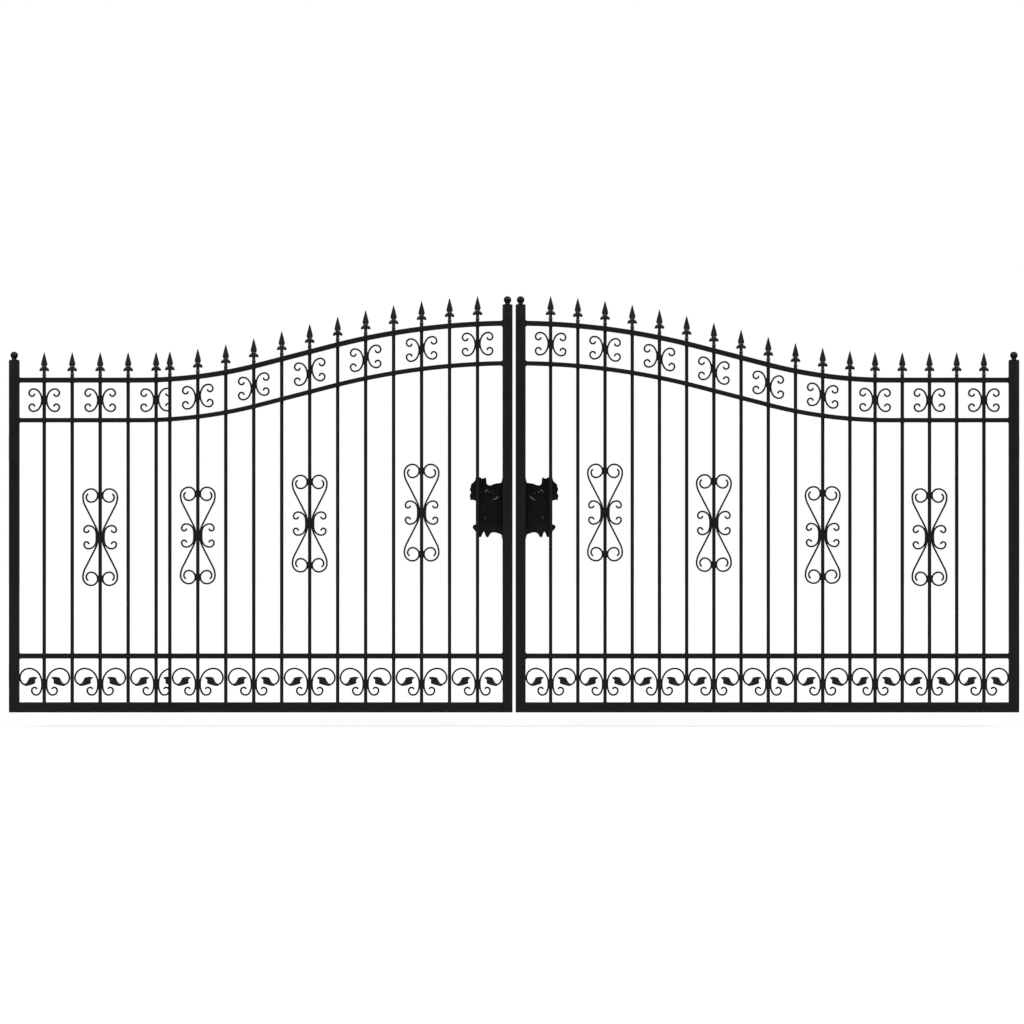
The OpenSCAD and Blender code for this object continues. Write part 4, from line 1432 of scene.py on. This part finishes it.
@dataclass
class LockPlate:
    """Cast cartouche behind the last picket, with a swirl in relief."""

    leaf: Leaf
    outline: tuple = (
        (0, 129), (5, 123), (16, 119), (37, 116), (49, 111.5), (63, 107.5), (74.5, 111.5),
        (79, 119), (80.5, 136), (84, 147.5), (91, 144), (100, 141.5), (109, 146), (118, 148.5),
        (128, 149), (134, 144.5), (136, 133.5), (146, 121), (155.5, 113), (158, 100),
        (162.5, 86.5), (157.5, 75), (158, 67), (163.5, 55), (160.5, 45), (160, 35.5),
        (151, 34.5), (142, 33.5), (133, 28), (133, 0), (133, -60), (133, -85), (141, -88),
        (147, -94), (148.5, -101), (144.5, -109), (137, -118), (132, -126), (130, -143),
        (127, -149), (117, -150), (107, -149), (103.5, -145), (100.5, -135), (96, -127),
        (92.5, -123.5), (89, -129), (86, -138), (81.5, -148), (75.5, -151), (69, -147),
        (62, -135), (52, -128), (37, -127), (19, -132), (6, -138), (0, -145))
    lowest: float = 0.149
    face_share: float = 0.6
    rim: float = 0.0016
    eye: Point2 = (0.0545, 0.061)
    eye_radii: Point2 = (0.035, 0.027)
    # first and last angle of the two crescents round the eye
    crescents: tuple = ((2, 82), (166, 266))
    crescent_width: float = 0.0040
    tendril_top: Point2 = (0.082, -0.045)
    tendril_run: Point2 = (0.0085, -0.041)
    tendril_radii: Point2 = (0.0042, 0.0032)
    bead: Point2 = (0.0995, -0.093)

    def _ring_arc(self, centre: Point2, radii: Point2, first: float, last: float,
                  width: float, front: float) -> bpy.types.Mesh:
        """A crescent in relief with a crisp ridge, drawn out at its ends."""
        steps = 18
        line, sizes = [], []
        for i in range(steps + 1):
            t = i / steps
            a = math.radians(first + (last - first) * t)
            line.append(Vector((centre[0] + radii[0] * math.cos(a), front,
                                centre[1] + radii[1] * math.sin(a))))
            swell = max(0.04, math.sin(math.pi * t) ** 0.7)
            sizes.append((width * swell, width * swell * 0.52))
        return swept("crescent", line, sizes, BACKWARDS, 4)

    def _button(self, at: Point2, front: float, radii: Point2, rise: float, lean: float,
                steps: int) -> bpy.types.Mesh:
        """A rounded button on the plate, oval and leaning if its radii differ."""
        side = Vector((math.cos(lean), 0.0, math.sin(lean)))
        line, sizes = [], []
        for i in range(7):
            a = math.pi / 2 * i / 6
            line.append(Vector((at[0], front + 0.001 - (rise + 0.001) * math.sin(a), at[1])))
            near = max(0.04, math.cos(a))
            sizes.append((radii[1] * near, radii[0] * near))
        return swept("button", line, sizes, side, steps)

    def build(self) -> bpy.types.Mesh:
        """The plate in place on its leaf."""
        low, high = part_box(f"{self.leaf.name}_lock_plate")
        back, front = high.y, high.y - (high.y - low.y) * self.face_share
        face_x = low.x if self.leaf.hand > 0 else high.x
        mid_z = low.z + self.lowest
        side = self.leaf.hand
        points = [(u / 1000, v / 1000) for u, v in self.outline]
        fine = [(max(0.0, u), v) for u, v in smooth_loop(points, 4)]

        def place(u: float, v: float) -> Point2:
            """A place on the plate, from its own measures."""
            return (face_x + side * u, mid_z + v)

        shape = bmesh.new()
        verts = [shape.verts.new((place(u, v)[0], back, place(u, v)[1])) for u, v in fine]
        face = shape.faces.new(verts)
        made = bmesh.ops.extrude_face_region(shape, geom=[face])
        moved = [g for g in made["geom"] if isinstance(g, bmesh.types.BMVert)]
        bmesh.ops.translate(shape, verts=moved, vec=(0, front - back, 0))
        bmesh.ops.recalc_face_normals(shape, faces=shape.faces)
        rims = [e for e in shape.edges if len(e.link_faces) == 2
                and abs(e.verts[0].co.y - e.verts[1].co.y) < 1e-6]
        bmesh.ops.bevel(shape, geom=rims, offset=self.rim, segments=3, profile=0.5,
                        affect="EDGES", clamp_overlap=True)
        bmesh.ops.triangulate(shape, faces=[f for f in shape.faces if len(f.verts) > 4])
        for item in shape.faces:
            item.smooth = True
        plate = bpy.data.meshes.new("lock_plate_body")
        shape.to_mesh(plate)
        shape.free()
        return joined("lock_plate", [plate, *self._decoration(place, front, side)])

    def _decoration(self, place: Callable[[float, float], Point2], front: float,
                    side: int) -> list[bpy.types.Mesh]:
        """The swirl, the boss, the tendril and its bead.

        Args:
            place: Turns the plate's own measures into places.
            front: Y of the plate's front face.
            side: Direction of the plate's first measure along X.

        Returns:
            The meshes.
        """
        eye = place(*self.eye)
        flip = (lambda a: a) if side > 0 else (lambda a: 180.0 - a)
        parts = [self._ring_arc(eye, self.eye_radii, flip(first), flip(last),
                                self.crescent_width, front) for first, last in self.crescents]
        parts.append(self._ring_arc(place(0.056, 0.066), (0.012, 0.012), flip(-25), flip(75),
                                    0.0030, front))
        parts.append(self._button(place(0.047, 0.066), front, (0.0085, 0.0060), 0.0055,
                                  -side * 0.6, 24))
        parts.append(self._tendril(place, front))
        parts.append(self._button(place(*self.bead), front, (0.0045, 0.0045), 0.0042, 0.0, 16))
        return parts

    def _tendril(self, place: Callable[[float, float], Point2], front: float) -> bpy.types.Mesh:
        """The stroke below the swirl, which swells and then sinks into the plate.

        Args:
            place: Turns the plate's own measures into places.
            front: Y of the plate's front face.

        Returns:
            The mesh.
        """
        line, sizes = [], []
        for t in np.linspace(0, 1, 12):
            x, z = place(self.tendril_top[0] + self.tendril_run[0] * t,
                         self.tendril_top[1] + self.tendril_run[1] * t)
            line.append(Vector((x, front + 0.003 - 0.009 * t ** 0.6, z)))
            swell = min(1.0, 2.6 * math.sin(math.pi * t) ** 0.9 + 0.1) * (1.0 - 0.3 * t)
            sizes.append((self.tendril_radii[0] * swell, self.tendril_radii[1]))
        return swept("tendril", line, sizes, BACKWARDS, 16)


def add_piece(name: str, mesh: bpy.types.Mesh, finish: Finish, body: str,
              node: str | None = None, sharp: float | None = 40.0) -> bpy.types.Object:
    """Add a finished piece to the gate.

    Args:
        name: The piece's name.
        mesh: Its mesh, in place.
        finish: Its finish.
        body: The body that it moves with.
        node: The CAD node that it stands for, if any.
        sharp: Edges sharper than this many degrees stay sharp, if given.

    Returns:
        The piece.
    """
    mesh.name = name
    mesh.materials.clear()
    mesh.materials.append(finish.material)
    for polygon in mesh.polygons:
        polygon.material_index = 0
    if sharp is not None:
        mesh.shade_smooth()
        mesh.set_sharp_from_angle(angle=math.radians(sharp))
    piece = link_object(name, mesh)
    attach(piece, body)
    if node:
        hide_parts(node)
    log.info("%s: %d faces on %s", name, len(mesh.polygons), body)
    return piece


class Hardware:
    """Brackets, pins, washers, latch and drop bolt."""

    SOFT = (("left_hinge_brackets", "root", Finish.PAINTED, 0.0015),
            ("right_hinge_brackets", "root", Finish.PAINTED, 0.0015),
            ("left_hinge_pins", "root", Finish.ZINC, 0.001),
            ("right_hinge_pins", "root", Finish.ZINC, 0.001),
            ("left_thrust_washers", "root", Finish.BRONZE, 0.0004),
            ("right_thrust_washers", "root", Finish.BRONZE, 0.0004),
            ("latch_guides", "left_leaf", Finish.PAINTED, 0.0012),
            ("latch_keeper", "right_leaf", Finish.PAINTED, 0.0012),
            ("latch_bolt", "latch_bolt", Finish.ZINC, 0.0008),
            ("drop_bolt_guides", "right_leaf", Finish.PAINTED, 0.0012),
            ("drop_bolt", "drop_bolt", Finish.ZINC, 0.0008))

    def build(self) -> None:
        """Round the edges of every fitting and dress it."""
        for node, body, finish, width in self.SOFT:
            add_piece(f"{node}_dressed", softened(node, width), finish, body, node)


class Studio:
    """Camera, lights, floor and background."""

    half_width: float = 2.543
    distance: float = 30.0
    eye: Point2 = (-0.0103, 0.995)
    floor_z: float = -0.075
    floor_reach: float = 60.0
    floor_seen: float = 0.72
    sky_light: float = 0.10
    sky_seen: float = 1.0

    def camera(self) -> None:
        """A long lens, square on to the gate."""
        data = bpy.data.cameras.new("view")
        data.sensor_width = 36.0
        data.lens = data.sensor_width * self.distance / (2 * self.half_width)
        data.clip_end = 400.0
        camera = bpy.data.objects.new("view", data)
        camera.location = (self.eye[0], -self.distance, self.eye[1])
        camera.rotation_euler = (math.pi / 2, 0.0, 0.0)
        bpy.context.scene.collection.objects.link(camera)
        bpy.context.scene.camera = camera

    def lights(self) -> None:
        """Two soft lights from above, one behind and an even sky."""
        for name, strength, spread, direction in (
                ("left_key", 1.7, 30.0, (0.7, 0.75, -0.85)),
                ("right_key", 1.7, 30.0, (-0.7, 0.75, -0.85)),
                ("back", 0.9, 50.0, (-0.2, -1.0, -0.8))):
            data = bpy.data.lights.new(name, "SUN")
            data.energy = strength
            data.angle = math.radians(spread)
            lamp = bpy.data.objects.new(name, data)
            lamp.rotation_euler = Vector(direction).to_track_quat("-Z", "Y").to_euler()
            bpy.context.scene.collection.objects.link(lamp)
        world = bpy.data.worlds.new("studio")
        tree = cleared(world)
        glow = tree.add("ShaderNodeBackground", {
            "Color": (1.0, 1.0, 1.0, 1.0),
            "Strength": tree.for_camera(self.sky_light, self.sky_seen)})
        tree.add("ShaderNodeOutputWorld", {"Surface": glow.outputs[0]})
        bpy.context.scene.world = world

    def floor(self) -> None:
        """A plain pale floor."""
        corners = [(x * self.floor_reach, y * self.floor_reach, self.floor_z)
                   for x, y in ((-1, -1), (1, -1), (1, 1), (-1, 1))]
        mesh = mesh_from("floor", corners, [(0, 1, 2, 3)], False)
        floor = link_object("floor", mesh)
        material = bpy.data.materials.new("pale_floor")
        tree = cleared(material)
        shader = tree.add("ShaderNodeBsdfPrincipled", {
            "Base Color": (0.34, 0.34, 0.34, 1.0), "Roughness": 0.9, "Specular IOR Level": 0.1,
            "Emission Color": (1.0, 1.0, 1.0, 1.0),
            "Emission Strength": tree.for_camera(0.0, self.floor_seen)})
        tree.add("ShaderNodeOutputMaterial", {"Surface": shader.outputs["BSDF"]})
        mesh.materials.append(material)

    def build(self) -> None:
        """Set the whole stage."""
        bpy.context.scene.view_settings.view_transform = "Standard"
        self.camera()
        self.lights()
        self.floor()


def main() -> None:
    """Build the gate, piece by piece, and its stage."""
    logging.basicConfig(level=logging.INFO, format="%(name)s: %(message)s")
    Studio().build()
    grower = Grower()
    for hand in (-1, 1):
        Leaf(hand, grower).build()
    Hardware().build()


if __name__ == "__main__":
    main()
